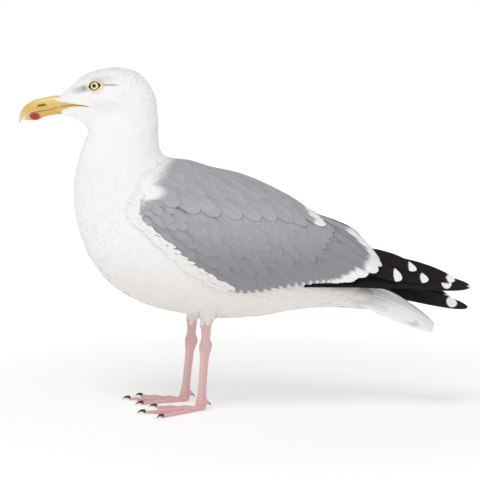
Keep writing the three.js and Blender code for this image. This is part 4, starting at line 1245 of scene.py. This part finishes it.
# %% Tracts of the wing, each given by where its tips lie on the wing's chart
def brick_rows(rows_t, shares_of, nudge_t=0.005, nudge_share=0.018):
    """Tips in rows, every other row shifted by half a place, each nudged a little."""
    tips = []
    for number, t in enumerate(rows_t):
        shares = shares_of(t)
        if len(shares) > 1 and number % 2:
            shares = shares[:-1] + np.diff(shares) / 2
        for share in shares:
            tips.append((t + rng.uniform(-1, 1) * nudge_t, share + rng.uniform(-1, 1) * nudge_share))
    return np.array(tips)


def tract(side, tips, length, width, down, lift, rise, white_from=NO_WHITE, wild=4.0, spread=0.08, outlined=1.0):
    """Everything that large_feathers needs for one tract."""
    n = len(tips)
    uneven = 1 + rng.uniform(-spread, spread, (2, n))
    length = np.broadcast_to(length, n) * uneven[0]
    slope = np.broadcast_to(down, n) + rng.uniform(-wild, wild, n)
    low = np.broadcast_to(lift, n) + rng.uniform(-0.12, 0.12, n)
    parts = lay_feathers(side, tips[:, 0], tips[:, 1], length, slope, low, low + rise)
    return parts, np.broadcast_to(width, n) / 2 * uneven[1], np.broadcast_to(white_from, n), np.broadcast_to(outlined, n)


def join_tracts(tracts):
    """Several tracts together: middle, across, outward, half widths, and the values of the feathers."""
    middle, across, outward = (np.concatenate([part[0][k] for part in tracts]) for k in range(3))
    half, white_from, outlined = (np.concatenate([part[k] for part in tracts]) for k in (1, 2, 3))
    no_mirror = np.full(len(half), -9.0)
    return middle, across, outward, half, {"white_from": white_from, "outlined": outlined, "mirror_at": no_mirror}


def covert_shares(t):
    lowest = 0.965 if t < 0.52 else 0.90
    return np.arange(lowest, scapular_edge(t) + 0.02, -0.085)


# %% Lay the feathers of both wings
for side, side_name in ((LEFT, "left"), (RIGHT, "right")):
    shell_points, shell_faces = wing_shell(side)
    plain = {"white_from": np.full(len(shell_points), NO_WHITE), "mirror_at": np.full(len(shell_points), -9.0)}
    shell = make_piece("wing_shell_" + side_name, shell_points, shell_faces, [grey_vanes], plain)
    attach(shell, "root")

    ends = np.linspace(0, 1, 24)
    secondaries = tract(side, np.column_stack([mixed(0.525, 0.915, ends), mixed(0.995, 1.0, ends)]), 52, 12.5,
                        mixed(40, 22, ends), mixed(-2.1, -1.6, ends), 0.6,
                        np.interp(ends, [0, 0.65, 1], [0.90, 0.86, 0.62]), 2.0, outlined=0.5)
    tertial_tips = np.array([[0.875, 1.0], [0.925, 1.0], [0.972, 0.97], [0.985, 0.62], [0.955, 0.30], [0.89, 0.18],
                             [0.825, 0.13]])
    ends = np.linspace(0, 1, len(tertial_tips))
    tertials = tract(side, tertial_tips, 70, mixed(20, 22, ends), mixed(15, 38, ends), mixed(-2.2, -0.9, ends),
                     1.0, mixed(0.70, 0.58, ends), 1.0, spread=0.03)
    tips = brick_rows(np.arange(0.18, 0.71, 0.0185), covert_shares)
    at, share = tips[:, 0], tips[:, 1]
    covert_length = np.interp(at, [0.15, 0.3, 0.45, 0.6, 0.8], [14, 20, 28, 38, 46])
    covert_width = np.interp(at, [0.15, 0.3, 0.45, 0.6, 0.8], [9, 11, 14, 13, 14])
    covert_slope = np.interp(at, [0.15, 0.5, 0.8], [46, 42, 30]) - 12 * smooth((share - 0.75) / 0.25) * (at < 0.55)
    median = smooth((at - 0.36) / 0.08) * smooth((0.64 - at) / 0.08) * smooth((0.9 - share) / 0.12)
    covert_lift = mixed(-1.35, -1.75, smooth((at - 0.58) / 0.12))
    coverts = tract(side, tips, covert_length, covert_width, covert_slope, covert_lift, mixed(0.25, 0.7, median),
                    outlined=mixed(0.12, 1.0, median))
    spot_tips = np.array([[0.655, 0.26], [0.64, 0.20], [0.62, 0.13], [0.60, 0.05]])
    white_spot = tract(side, spot_tips, 40, 15, 35, -0.35, 0.8, 0.58, 2.0)
    tips = brick_rows(np.arange(0.06, 0.60, 0.0225), lambda t: np.arange(scapular_edge(t), 0.0, -0.105))
    tips = tips[(tips[:, 0] > 0.09) | (tips[:, 1] < 0.5)]  # the bend itself is the neck's plumage
    at, share = tips[:, 0], tips[:, 1]
    lowness = smooth((share - 0.1) / 0.3) * smooth((at - 0.12) / 0.15)
    lowest = smooth((share - scapular_edge(at) + 0.13) / 0.1)
    mantle_length = np.minimum(mixed(26, 38, lowness), 255 * at - 8)
    mantle = tract(side, tips, mantle_length, mixed(12, 18, lowness), mixed(26, 36, lowness), -0.55,
                   mixed(0.22, 0.85, lowest), outlined=mixed(0.08, 0.5, lowest))
    tracts = [secondaries, tertials, coverts, white_spot, mantle]
    if side == LEFT:
        ridge_t = np.arange(0.07, 0.605, 0.018)
        ridge_tips = np.column_stack([ridge_t, np.zeros(len(ridge_t))])
        tracts.append(tract(side, ridge_tips, np.minimum(26, 255 * ridge_t - 8), 13, 26, -0.4, 0.2, wild=3.0, outlined=0.08))
    *parts, values = join_tracts(tracts)
    wing = large_feathers("wing_feathers_" + side_name, *parts, [grey_vanes], "grey_feathers", values)
    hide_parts("wing_" + side_name, "tertials_" + side_name)

    # White feathers of the flank lie, fine and ragged, over the wing's lower edge.
    count = 260
    flank = np.column_stack([np.linspace(0.10, 0.56, count), 0.985 + rng.uniform(-0.025, 0.035, count)])
    flank_tract = tract(side, flank, np.linspace(12, 16, count), 3.4, np.linspace(36, 22, count), -1.55, 1.35,
                        wild=9.0, spread=0.3, outlined=0.0)
    *parts, values = join_tracts([flank_tract])
    large_feathers("flank_feathers_" + side_name, *parts, [white_coat], "white_feathers", values, blunt=0.3)

# %% [markdown]
# ## The folded hand
# Behind the tertials the long primaries of the hand lie stacked, the shortest outermost, so that their white
# ends step along the black point of the wing. They lie on one leaning surface that closes towards the tail.

# %% Primaries: number, root x z, tip x z, width, where the white end begins
PRIMARIES = [
    (6, (141, 172), (187, 159.5), 21, 0.77), (7, (141, 188), (205, 168.5), 17, 0.835),
    (8, (139, 171), (219, 156.5), 21, 0.865), (9, (137, 182), (251, 155), 21, 0.90),
    (10, (131, 159), (270, 147.5), 22, 0.965),
]
INNER_PRIMARY = (5, (70, 160), (205, 152), 23, NO_WHITE)  # shows only its edge, under the secondaries
VISIBLE_HAND = [*PRIMARIES, INNER_PRIMARY]
MIRROR_AT = {LEFT: 0.79, RIGHT: 0.86}  # the outermost primary has a white spot short of its tip
HAND_FROM, HAND_TO = 140, 270
HAND_ROOT_Y, HAND_TIP_Y = 29.5, 12
HAND_HEIGHT = 160
HAND_LEAN = 0.55
HAND_SPREAD = 0.25
LAYER = 1.6
HAND_STEPS = 26
for side, side_name in ((LEFT, "left"), (RIGHT, "right")):
    middles = []
    outwards = []
    acrosses = []
    for order, (number, root, tip, width, white) in enumerate(VISIBLE_HAND):
        t = vane_steps(HAND_STEPS)
        x = mixed(root[0], tip[0], t)
        z = mixed(root[1], tip[1], t) + 2.5 * np.sin(math.pi * t)
        closing = np.clip((x - HAND_FROM) / (HAND_TO - HAND_FROM), 0, 1)
        y = mixed(HAND_ROOT_Y, HAND_TIP_Y, closing) + np.maximum(0, HAND_FROM - x) * HAND_SPREAD
        y = y - (z - HAND_HEIGHT) * HAND_LEAN - order * LAYER
        if side == RIGHT:
            z = z - np.maximum(0, x - DROP_START) * DROP
        middle = np.stack([x, y * side, z], -1)
        across = unit(np.array([0.0, -HAND_LEAN * side, 1.0])) * np.ones((HAND_STEPS, 1))
        ahead = unit(np.gradient(middle, axis=0))
        out_way = unit(np.cross(across, ahead))
        out_way *= np.sign(out_way[:, 1:2] * side)
        middles.append(middle)
        acrosses.append(across)
        outwards.append(out_way)
    widths = np.array([p[3] for p in VISIBLE_HAND]) / 2
    hand = large_feathers("primaries_" + side_name, np.array(middles), np.array(acrosses), np.array(outwards),
                          widths, [black_vanes], "black_feathers",
                          {"white_from": [NO_WHITE if p[0] == 10 and side == RIGHT else p[4] for p in VISIBLE_HAND],
                           "mirror_at": [MIRROR_AT[side] if p[0] == 10 else -9.0 for p in VISIBLE_HAND],
                           "outlined": [0.6] * len(VISIBLE_HAND)},
                          blunt=0.52, root=0.9, thickness=0.8, camber=0.06)
    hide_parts(*["primary_%d_%s" % (p[0], side_name) for p in PRIMARIES])

# %% [markdown]
# ## Tail
# Twelve white tail feathers close like a fan into a low roof. Above and below, soft coverts hide their
# roots, and the ones underneath reach most of the way to the tip.

# %% Tail roof: x, ridge height, edge height, half width, thickness
TAIL = np.array([
    [124, 155, 130, 21, 30], [150, 146, 124, 24, 22], [176, 138, 113, 28, 14], [201, 123.5, 104, 32, 8],
    [218, 111.5, 100, 33, 4.5], [229, 101.5, 98.5, 30, 2.4],
])
TAIL_ROUNDNESS = 7


def tail_place(t, share, under=0.0, inset=0.0):
    """Point of the tail: t to the tip, share -1 to 1 across, under 0 on the roof and 1 beneath."""
    row = along(TAIL, t)
    slope = np.abs(share) ** 1.4
    top = mixed(row[..., 1], row[..., 2], slope)
    depth = mixed(row[..., 4], 1.2, slope)
    x = row[..., 0] - TAIL_ROUNDNESS * t * share * share
    z = top - inset - (depth - 2 * inset) * under
    return np.stack([x, share * (row[..., 3] - inset), z], -1)


TAIL_FEATHERS = 12
rank = np.linspace(-1, 1, TAIL_FEATHERS)
t = mixed(0.12, 0.985, vane_steps(HAND_STEPS))[None, :] * np.ones((TAIL_FEATHERS, 1))
share = 0.84 * rank[:, None] * np.ones_like(t)
middle = tail_place(t, share)
outward = unit(np.cross(tail_place(t, share + 0.02) - tail_place(t, share - 0.02), np.gradient(middle, axis=1)))
outward *= np.sign(outward[..., 2:3])
middle = middle + outward * (-0.4 - 0.9 * np.abs(rank))[:, None, None]
across = unit(np.cross(outward, np.gradient(middle, axis=1)))
tail = large_feathers("tail_feathers", middle, across, outward, np.full(TAIL_FEATHERS, 8.6), [white_vanes],
                      "white_feathers", {"white_from": np.full(TAIL_FEATHERS, NO_WHITE), "mirror_at": np.full(TAIL_FEATHERS, -9.0),
                       "outlined": np.ones(TAIL_FEATHERS)}, blunt=0.8, root=0.8,
                      thickness=0.6)
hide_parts("tail")

# %% Tail coverts above and below
TAIL_RINGS = 40
TAIL_COLUMNS = 24
columns = np.linspace(-0.94, 0.94, TAIL_COLUMNS)
rings = []
for t in np.linspace(0.0, 0.72, TAIL_RINGS):
    times = np.full(TAIL_COLUMNS, t)
    rings.append(np.concatenate([tail_place(times, columns, 0.0, 1.2), tail_place(times, columns[::-1], 1.0, 1.2)]))
tail_root = make_piece("tail_root", *tube(rings), [down_skin])
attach(tail_root, "root")
points = np.array(rings)
shape = points.shape[:2]
lie = unit(np.gradient(points, axis=0))
down_share, round_share = np.meshgrid(np.linspace(0.02, 0.98, shape[0]), np.linspace(0.02, 0.98, shape[1]), indexing="ij")
beneath = np.tile(np.r_[np.zeros(TAIL_COLUMNS), np.ones(TAIL_COLUMNS)], (shape[0], 1))
reach_end = np.where(beneath > 0.5, 196, 158)
cover = np.clip((reach_end - points[..., 0]) / 6, 0, 1)
bed_points, bed_faces = points.reshape(-1, 3), []
for r in range(shape[0] - 1):
    for s in range(shape[1]):
        n = (s + 1) % shape[1]
        bed_faces.append((r * shape[1] + s, r * shape[1] + n, (r + 1) * shape[1] + n, (r + 1) * shape[1] + s))
bed = make_piece("tail_bed", bed_points, bed_faces, [], {
    "lie": lie.reshape(-1, 3), "reach": np.full(cover.size, 17 * MM), "cover": cover.ravel(),
    "root_uv": np.stack([down_share, round_share, np.zeros(shape)], -1).reshape(-1, 3)})
if sum(f.normal.z * (1 if f.index % shape[1] < TAIL_COLUMNS - 1 else -1) for f in bed.data.polygons) < 0:
    bed.data.flip_normals()
grow_coat("tail_coverts", bed, white_coat, Spacing=0.0042, Tip_lift=0.05, Disorder=0.12, Seed=41)

# %% [markdown]
# ## Bill
# A gull's bill is horn over bone: glossy, deep, hooked, with a bulge under its tip that bears the red spot
# young birds peck at. Each half is a smooth loft through stations along the bill, and the nostril is a slit
# pressed into the upper half. The colours run into each other, so they are soft spots in one material.

# %% Bill stations: x, top, bottom, half width
UPPER_BILL = np.array([
    [-204, 372, 364.6, 9.5], [-214, 374.2, 362.3, 8.6], [-225, 375, 360.4, 7.6], [-234, 373.6, 358.7, 6.8],
    [-243, 371.7, 357.2, 6], [-252, 369.1, 356.6, 5.1], [-259, 365.2, 353.6, 4.2], [-264.5, 360, 347.5, 3.1],
    [-267.8, 354.5, 343.5, 2], [-268.9, 349.5, 342.6, 0.8],
])
LOWER_BILL = np.array([
    [-204, 364.3, 352.5, 9], [-214, 362, 352.5, 7.6], [-225, 360.1, 352.2, 6.4], [-236, 358, 350.3, 5.4],
    [-242.5, 356.9, 347.8, 4.8], [-247, 356.4, 345.7, 4.4], [-253, 355.8, 345.4, 3.8], [-258, 353.4, 345.4, 3],
    [-262.5, 348.8, 345.6, 1.6],
])
NOSTRIL = np.array([-241.5, 363.6])
NOSTRIL_SIZE = np.array([5.4, 1.15])
NOSTRIL_SLOPE = 0.16
SPOT_CENTRE = (-250.0, 0.0, 350.6)
BILL_RINGS = 110

bill_horn, tree, out = material("bill_horn")
where = add(tree, "ShaderNodeTexCoord").outputs["Object"]
grain = add(tree, "ShaderNodeTexNoise", None, {"Vector": where, "Scale": 1 / (6 * MM), "Detail": 4.0}).outputs[0]
height = add(tree, "ShaderNodeSeparateXYZ", None, {0: where}).outputs["Z"]
upward = add(tree, "ShaderNodeMapRange", {"interpolation_type": "SMOOTHSTEP"},
             {"Value": height, "From Min": 352 * MM, "From Max": 375 * MM}).outputs[0]
colour = tinted(tree, upward, linear("D9AE4E"), linear("EBD387"))
colour = tinted(tree, grain, colour, linear("C99B45"), 0.25)
colour = tinted(tree, spot(tree, where, (-209, 0, 362), (17, 30, 16), 0.9), colour, linear("CBB37C"), 0.6)
colour = tinted(tree, spot(tree, where, (-268, 0, 347), (17, 30, 17), 0.8), colour, linear("E3D7B0"), 0.75)
colour = tinted(tree, spot(tree, where, SPOT_CENTRE, (8.2, 30, 5.6), 0.45), colour, linear("A01004"))
# Painted shade: the nostril slit and the crease along the gape are darkened, as their hollows lie in shade.
pit = add(tree, "ShaderNodeAttribute", {"attribute_name": "pit"}).outputs["Fac"]
colour = tinted(tree, pit, colour, linear("4A3118"), 0.9)
surface(tree, out, colour, 0.32, grain, 0.12, 0.0003, Coat_Weight=0.25, Coat_Roughness=0.25,
        Subsurface_Weight=0.08, Subsurface_Scale=0.003)


def bill_half(name, stations, upper):
    """One half of the bill: flat along the gape, rounded away from it."""
    t = np.linspace(0, 1, BILL_RINGS)
    row = along(stations, t)
    angle = np.linspace(0, math.pi, 30)
    closed = np.linspace(math.pi, 2 * math.pi, 12)[1:-1]
    rings = []
    for x, top, bottom, half in row:
        flat_z, round_z = (bottom, top) if upper else (top, bottom)
        rise = np.sin(angle) ** 0.85
        y = np.r_[half * np.cos(angle), half * 0.96 * np.cos(closed)]
        inward = 0.5 if upper else -0.5
        z = np.r_[mixed(flat_z, round_z, rise), flat_z + inward * np.sin(-closed)]
        rings.append(np.stack([np.full(len(y), x), y, z], -1))
    points, faces = tube(rings)
    pit_shades = np.zeros(len(points))
    if upper:
        local = (points[:, [0, 2]] - NOSTRIL)
        local[:, 1] -= -NOSTRIL_SLOPE * -1 * local[:, 0]
        inside = smooth(1.6 - np.linalg.norm(local / NOSTRIL_SIZE, axis=1))
        inside = inside * (np.abs(points[:, 1]) > 1.5)
        points[:, 1] -= np.sign(points[:, 1]) * inside * 1.5
        pit_shades = smooth(inside * 1.5 - 0.2)
    piece = make_piece(name, points, faces, [bill_horn], {"pit": pit_shades})
    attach(piece, "root")
    return piece


upper_bill = bill_half("upper_bill", UPPER_BILL, True)
lower_bill = bill_half("lower_bill", LOWER_BILL, False)
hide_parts("bill_upper")
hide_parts("bill_lower")

# %% Horn that runs back under the cheek's feathers, along the gape
PATCH_COLUMNS = 60
PATCH_ROWS = 16
head_samples = skin_rings[: SKIN_RINGS // 4].reshape(-1, 3)
head_tree = KDTree(len(head_samples))
for i, (x, y, z) in enumerate(head_samples):
    head_tree.insert((x, z, 0.0), i)
head_tree.balance()


def head_half_width(x, z):
    """Half width of the head's skin at a place seen from the side."""
    near = head_tree.find_n((x, z, 0.0), 6)
    weight = np.array([1 / (0.3 + d) for _, _, d in near])
    return float((np.abs(head_samples[[i for _, i, _ in near], 1]) * weight).sum() / weight.sum())


# Short feathers reach forward over the bill's side in a point, between culmen and gape.
POINT_TIP = -229.5
POINT_ROOT = -216.5
POINT_COLUMNS = 24
POINT_ROWS = 16
for side, side_name in ((LEFT, "left"), (RIGHT, "right")):
    x, level_share = np.meshgrid(np.linspace(POINT_TIP, POINT_ROOT, POINT_COLUMNS), np.linspace(0, 1, POINT_ROWS),
                                 indexing="ij")
    grown = (x - POINT_TIP) / (POINT_ROOT - POINT_TIP)
    z = mixed(368.6 - 0.6 * grown, 369.6 + 6.6 * grown, level_share)
    top = np.interp(-x, [204, 214, 225, 234], [372, 374.2, 375, 373.6])
    bottom = np.interp(-x, [204, 214, 225, 234], [364.6, 362.3, 360.4, 358.7])
    half = np.interp(-x, [204, 214, 225, 234], [9.5, 8.6, 7.6, 6.8])
    rise = np.clip((z - bottom) / (top - bottom), 0, 0.985) ** (1 / 0.85)
    y = half * np.sqrt(1 - rise ** 2) + 0.15
    points = np.stack([x, side * y, z], -1)
    shape = points.shape[:2]
    faces = [(r * shape[1] + c, r * shape[1] + c + 1, (r + 1) * shape[1] + c + 1, (r + 1) * shape[1] + c)
             for r in range(shape[0] - 1) for c in range(shape[1] - 1)]
    root_uv = np.stack([0.02 + 0.96 * grown, 0.02 + 0.96 * level_share, np.zeros(shape)], -1)
    bed = make_piece("bill_point_bed", points.reshape(-1, 3), faces, [], {
        "lie": np.tile([1.0, 0.1 * side, 0.25], (points.size // 3, 1)), "reach": np.full(points.size // 3, 4.2 * MM),
        "cover": np.ones(points.size // 3), "root_uv": root_uv.reshape(-1, 3)})
    if sum(f.normal.y for f in bed.data.polygons) * side < 0:
        bed.data.flip_normals()
    grow_coat("bill_point_feathers_" + side_name, bed, white_coat, Spacing=0.0009, Tip_lift=0.08, Disorder=0.12,
              Seed=47)

gape_shells = []
gape_pit_shades = []
for side in (LEFT, RIGHT):
    rings = []
    for x in np.linspace(-226.0, GAPE_END, PATCH_COLUMNS):
        heights = np.linspace(gape_bottom(x), gape_top(x), PATCH_ROWS)
        depth = np.array([head_half_width(x, z) for z in heights])
        mouth = np.interp(x, [-229.0, -204.0, -190.0, GAPE_END], [360.2, 364.4, 364.0, 362.3])
        # The crease at the mouth line is pressed in, and darkened there as painted shade.
        crease = np.exp(-(((heights - mouth) / 0.55) ** 2))
        swell = 0.8 * np.sin(math.pi * np.linspace(0.04, 0.96, PATCH_ROWS)) ** 0.5 - 0.6 * crease
        outer = np.stack([np.full(PATCH_ROWS, x), side * (depth + swell + 0.3), heights], -1)
        inner = outer.copy()
        inner[:, 1] = side * (depth - 1.2)
        rings.append(np.concatenate([outer, inner[::-1]]))
        gape_pit_shades += list(crease) + [0.0] * PATCH_ROWS
    gape_shells.append(tube(rings))
    gape_pit_shades += [0.0, 0.0]
gape = make_piece("gape", *join_shells(gape_shells), [bill_horn], {"pit": np.array(gape_pit_shades)})
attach(gape, "root")

# %% [markdown]
# ## Eyes
# The eye is a ball with a clear wet surface. Its pale yellow iris and black pupil are rings about the axis
# the eye looks along; beyond the iris the ball is dark brown, painted shade under the lids. Two lids meet in an
# almond: a dark inner rim, its own dark edge deepened by painted shade, and round it a cream-coloured bare ring.

# %% Eyeball
EYE_RADIUS = 7.2
IRIS_RADIUS = 4.75
PUPIL_RADIUS = 2.35
eye_glass, tree, out = material("wet_eye_with_pale_iris")
off_axis = add(tree, "ShaderNodeAttribute", {"attribute_name": "off_axis"}).outputs["Fac"]
where = add(tree, "ShaderNodeTexCoord").outputs["Object"]
fibre = add(tree, "ShaderNodeTexNoise", None, {"Vector": where, "Scale": 1 / (0.9 * MM), "Detail": 3.0}).outputs[0]
iris = tinted(tree, fibre, linear("F0E6B4"), linear("DCCB90"), 0.6)
# Painted shade: beyond the iris the ball is dark brown, for the eye's surface shaded by the lids.
edge = add(tree, "ShaderNodeMapRange", {"interpolation_type": "SMOOTHSTEP"},
           {"Value": off_axis, "From Min": IRIS_RADIUS - 0.5, "From Max": IRIS_RADIUS + 0.1}).outputs[0]
colour = tinted(tree, edge, iris, linear("33230F"))
pupil = add(tree, "ShaderNodeMapRange", {"interpolation_type": "SMOOTHSTEP"},
            {"Value": off_axis, "From Min": PUPIL_RADIUS - 0.15, "From Max": PUPIL_RADIUS + 0.15,
             "To Min": 1.0, "To Max": 0.0}).outputs[0]
colour = tinted(tree, pupil, colour, linear("060505"))
surface(tree, out, colour, 0.25, Coat_Weight=0.6, Coat_Roughness=0.04, IOR=1.38)

lid_skin, tree, out = material("bare_eyelid_skin")
lid_part = add(tree, "ShaderNodeAttribute", {"attribute_name": "lid"}).outputs["Fac"]
where = add(tree, "ShaderNodeTexCoord").outputs["Object"]
fine = add(tree, "ShaderNodeTexNoise", None, {"Vector": where, "Scale": 1 / (0.7 * MM), "Detail": 3.0}).outputs[0]
outer = add(tree, "ShaderNodeMapRange", {"interpolation_type": "SMOOTHSTEP"},
            {"Value": lid_part, "From Min": 0.30, "From Max": 0.42}).outputs[0]
cream = tinted(tree, fine, linear("F2E6C6"), linear("DCC79A"), 0.6)
# The dark inner rim: the lid's own dark edge, deepened as painted shade where the eye sits in its hollow.
colour = tinted(tree, outer, linear("2A1A0C"), cream)
surface(tree, out, colour, 0.5, fine, 0.4, 0.0003, Subsurface_Weight=0.1, Subsurface_Scale=0.002)

LID_RINGS = 13
LID_SIDES = 64
for side, side_name in ((LEFT, "left"), (RIGHT, "right")):
    centre = EYE * [1, side, 1]
    axis = unit(np.array([-0.24, side, 0.1]))
    level = unit(np.array([1.0, 0.0, 0.16]) - axis * axis[0])
    level = unit(level - axis * (level @ axis))
    upright = unit(np.cross(axis, level))
    upright *= np.sign(upright[2])
    ball = bmesh.new()
    bmesh.ops.create_uvsphere(ball, u_segments=48, v_segments=28, radius=EYE_RADIUS)
    local = np.array([v.co[:] for v in ball.verts])
    ball_faces = [tuple(v.index for v in f.verts) for f in ball.faces]
    ball.free()
    turned_points = centre + local[:, :1] * level + local[:, 1:2] * upright + local[:, 2:] * axis
    if side * 1.0 * np.dot(np.cross(level, upright), axis) * side < 0:
        ball_faces = [f[::-1] for f in ball_faces]
    off = np.linalg.norm(local[:, :2], axis=1) + np.where(local[:, 2] < 0, 10, 0)
    eyeball = make_piece("eye_ball_" + side_name, turned_points, ball_faces, [eye_glass], {"off_axis": off})
    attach(eyeball, "root")
    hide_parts("eye_" + side_name)

    around = np.linspace(0, 2 * math.pi, LID_SIDES, False)
    rings = []
    lid_values = []
    for k, part in enumerate(np.linspace(0, 1, LID_RINGS)):
        wide = mixed(5.7, 9.0, part)
        tall = mixed(4.5, 7.2, part)
        pointed = 1 - 0.16 * (1 - part) * np.abs(np.cos(around)) ** 6 + 0.10 * np.abs(np.cos(around)) ** 12
        x = wide * np.cos(around) * (1 + 0.10 * np.abs(np.cos(around)) ** 8)
        y = tall * np.sin(around) * pointed * (1 - 0.18 * np.abs(np.cos(around)) ** 2)
        radius = np.hypot(x, y)
        ball_z = np.sqrt(np.maximum(EYE_RADIUS ** 2 - np.minimum(radius, EYE_RADIUS) ** 2, 0))
        if k == 0:
            rim_z = ball_z + 0.15
        outside = mixed(rim_z, 3.9, smooth(part)) + 1.1 * math.sin(math.pi * part) ** 0.8
        outside = np.maximum(outside, ball_z + 0.2)
        rings.append(centre + x[:, None] * level + y[:, None] * upright + outside[:, None] * axis)
        lid_values.append(np.full(LID_SIDES, part))
    for depth in (2.0, 3.6):
        rings.append(rings[LID_RINGS - 1] - axis * depth)
        lid_values.append(np.full(LID_SIDES, 1.0))
    rings.append(rings[0] - axis * 1.2)
    lid_values.append(np.full(LID_SIDES, 0.0))
    points = np.concatenate(rings)
    faces = []
    total = len(rings)
    for r in range(total):
        n = (r + 1) % total
        for s in range(LID_SIDES):
            e = (s + 1) % LID_SIDES
            face = (r * LID_SIDES + s, r * LID_SIDES + e, n * LID_SIDES + e, n * LID_SIDES + s)
            faces.append(face)
    lids = make_piece("eyelids_" + side_name, points, faces, [lid_skin], {"lid": np.concatenate(lid_values)})
    check = bmesh.new()
    check.from_mesh(lids.data)
    bmesh.ops.recalc_face_normals(check, faces=check.faces)
    check.to_mesh(lids.data)
    check.free()
    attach(lids, "root")
    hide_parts("eye_ring_" + side_name)
print("eyes at z", EYE[2])

# %% [markdown]
# ## Claws
# Claws are hard dark horn, curved and blunt from walking. Each is a short curved spike, and the claws of a
# foot are joined into one piece.

# %% Claws
claw_horn, tree, out = material("dark_claw_horn")
where = add(tree, "ShaderNodeTexCoord").outputs["Object"]
grain = add(tree, "ShaderNodeTexNoise", None, {"Vector": where, "Scale": 1 / (2 * MM), "Detail": 3.0}).outputs[0]
colour = tinted(tree, grain, linear("4A4441"), linear("2C2725"))
surface(tree, out, colour, 0.38, grain, 0.2, 0.0002, Coat_Weight=0.2, Coat_Roughness=0.3)


def claw_shell(start, ahead, length, radius, fall):
    aside = np.array([-ahead[1], ahead[0], 0.0])
    rings = []
    for t in np.linspace(0, 1, 14):
        size = max(0.3, radius * (1 - t) ** 0.7)
        centre = start + ahead * length * t
        centre[2] += radius * 0.7 * math.sin(math.pi * t * 0.9) - fall * t * t
        angle = np.linspace(0, 2 * math.pi, 12, False)
        ring = centre + aside * (0.75 * size * np.cos(angle))[:, None]
        ring[:, 2] = np.maximum(0.02, centre[2] + size * np.sin(angle))
        rings.append(ring)
    return tube(rings)


for name, leg in LEGS.items():
    shells = []
    for turn, length in leg["toes"].values():
        ahead = toe_ahead(leg["side"], turn)
        start = toe_root(leg) + ahead * (length - 2.2)
        start[2] = 2.7
        shells.append(claw_shell(start, ahead, 10.6, 2.4, 2.4))
    fx, fy, fz = leg["foot"]
    hind = np.array([fx + 8.2, fy * leg["side"], fz + 0.2])
    shells.append(claw_shell(hind, unit(np.array([1.0, 0.0, 0.0])), 4.6, 1.8, 5.0))
    claws = make_piece("claws_" + name, *join_shells(shells), [claw_horn])
    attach(claws, "root")
    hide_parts(*["claw_%d_%s" % (n, name) for n in (1, 2, 3, 4)])

# %% The skin stands for every solid of flesh
flesh = ["thigh", "tarsus", "toe_1", "toe_2", "toe_3", "toe_4", "web_inner", "web_outer"]
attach(skin, "root")
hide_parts("head", "neck", "trunk", *[part + "_" + side_name for part in flesh for side_name in LEGS])

# %% [markdown]
# ## Checking the size
# The box of the shown pieces is printed against the frame's box, in millimetres.

size = {"cad": [list(cad_low), list(cad_high)]}
size["visual"] = [list(v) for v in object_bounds()]
grown_by = [round((a - b) / MM, 1) for pair in zip(size["visual"], size["cad"]) for a, b in zip(*pair)]
print("visual box against the frame's, mm:", grown_by)
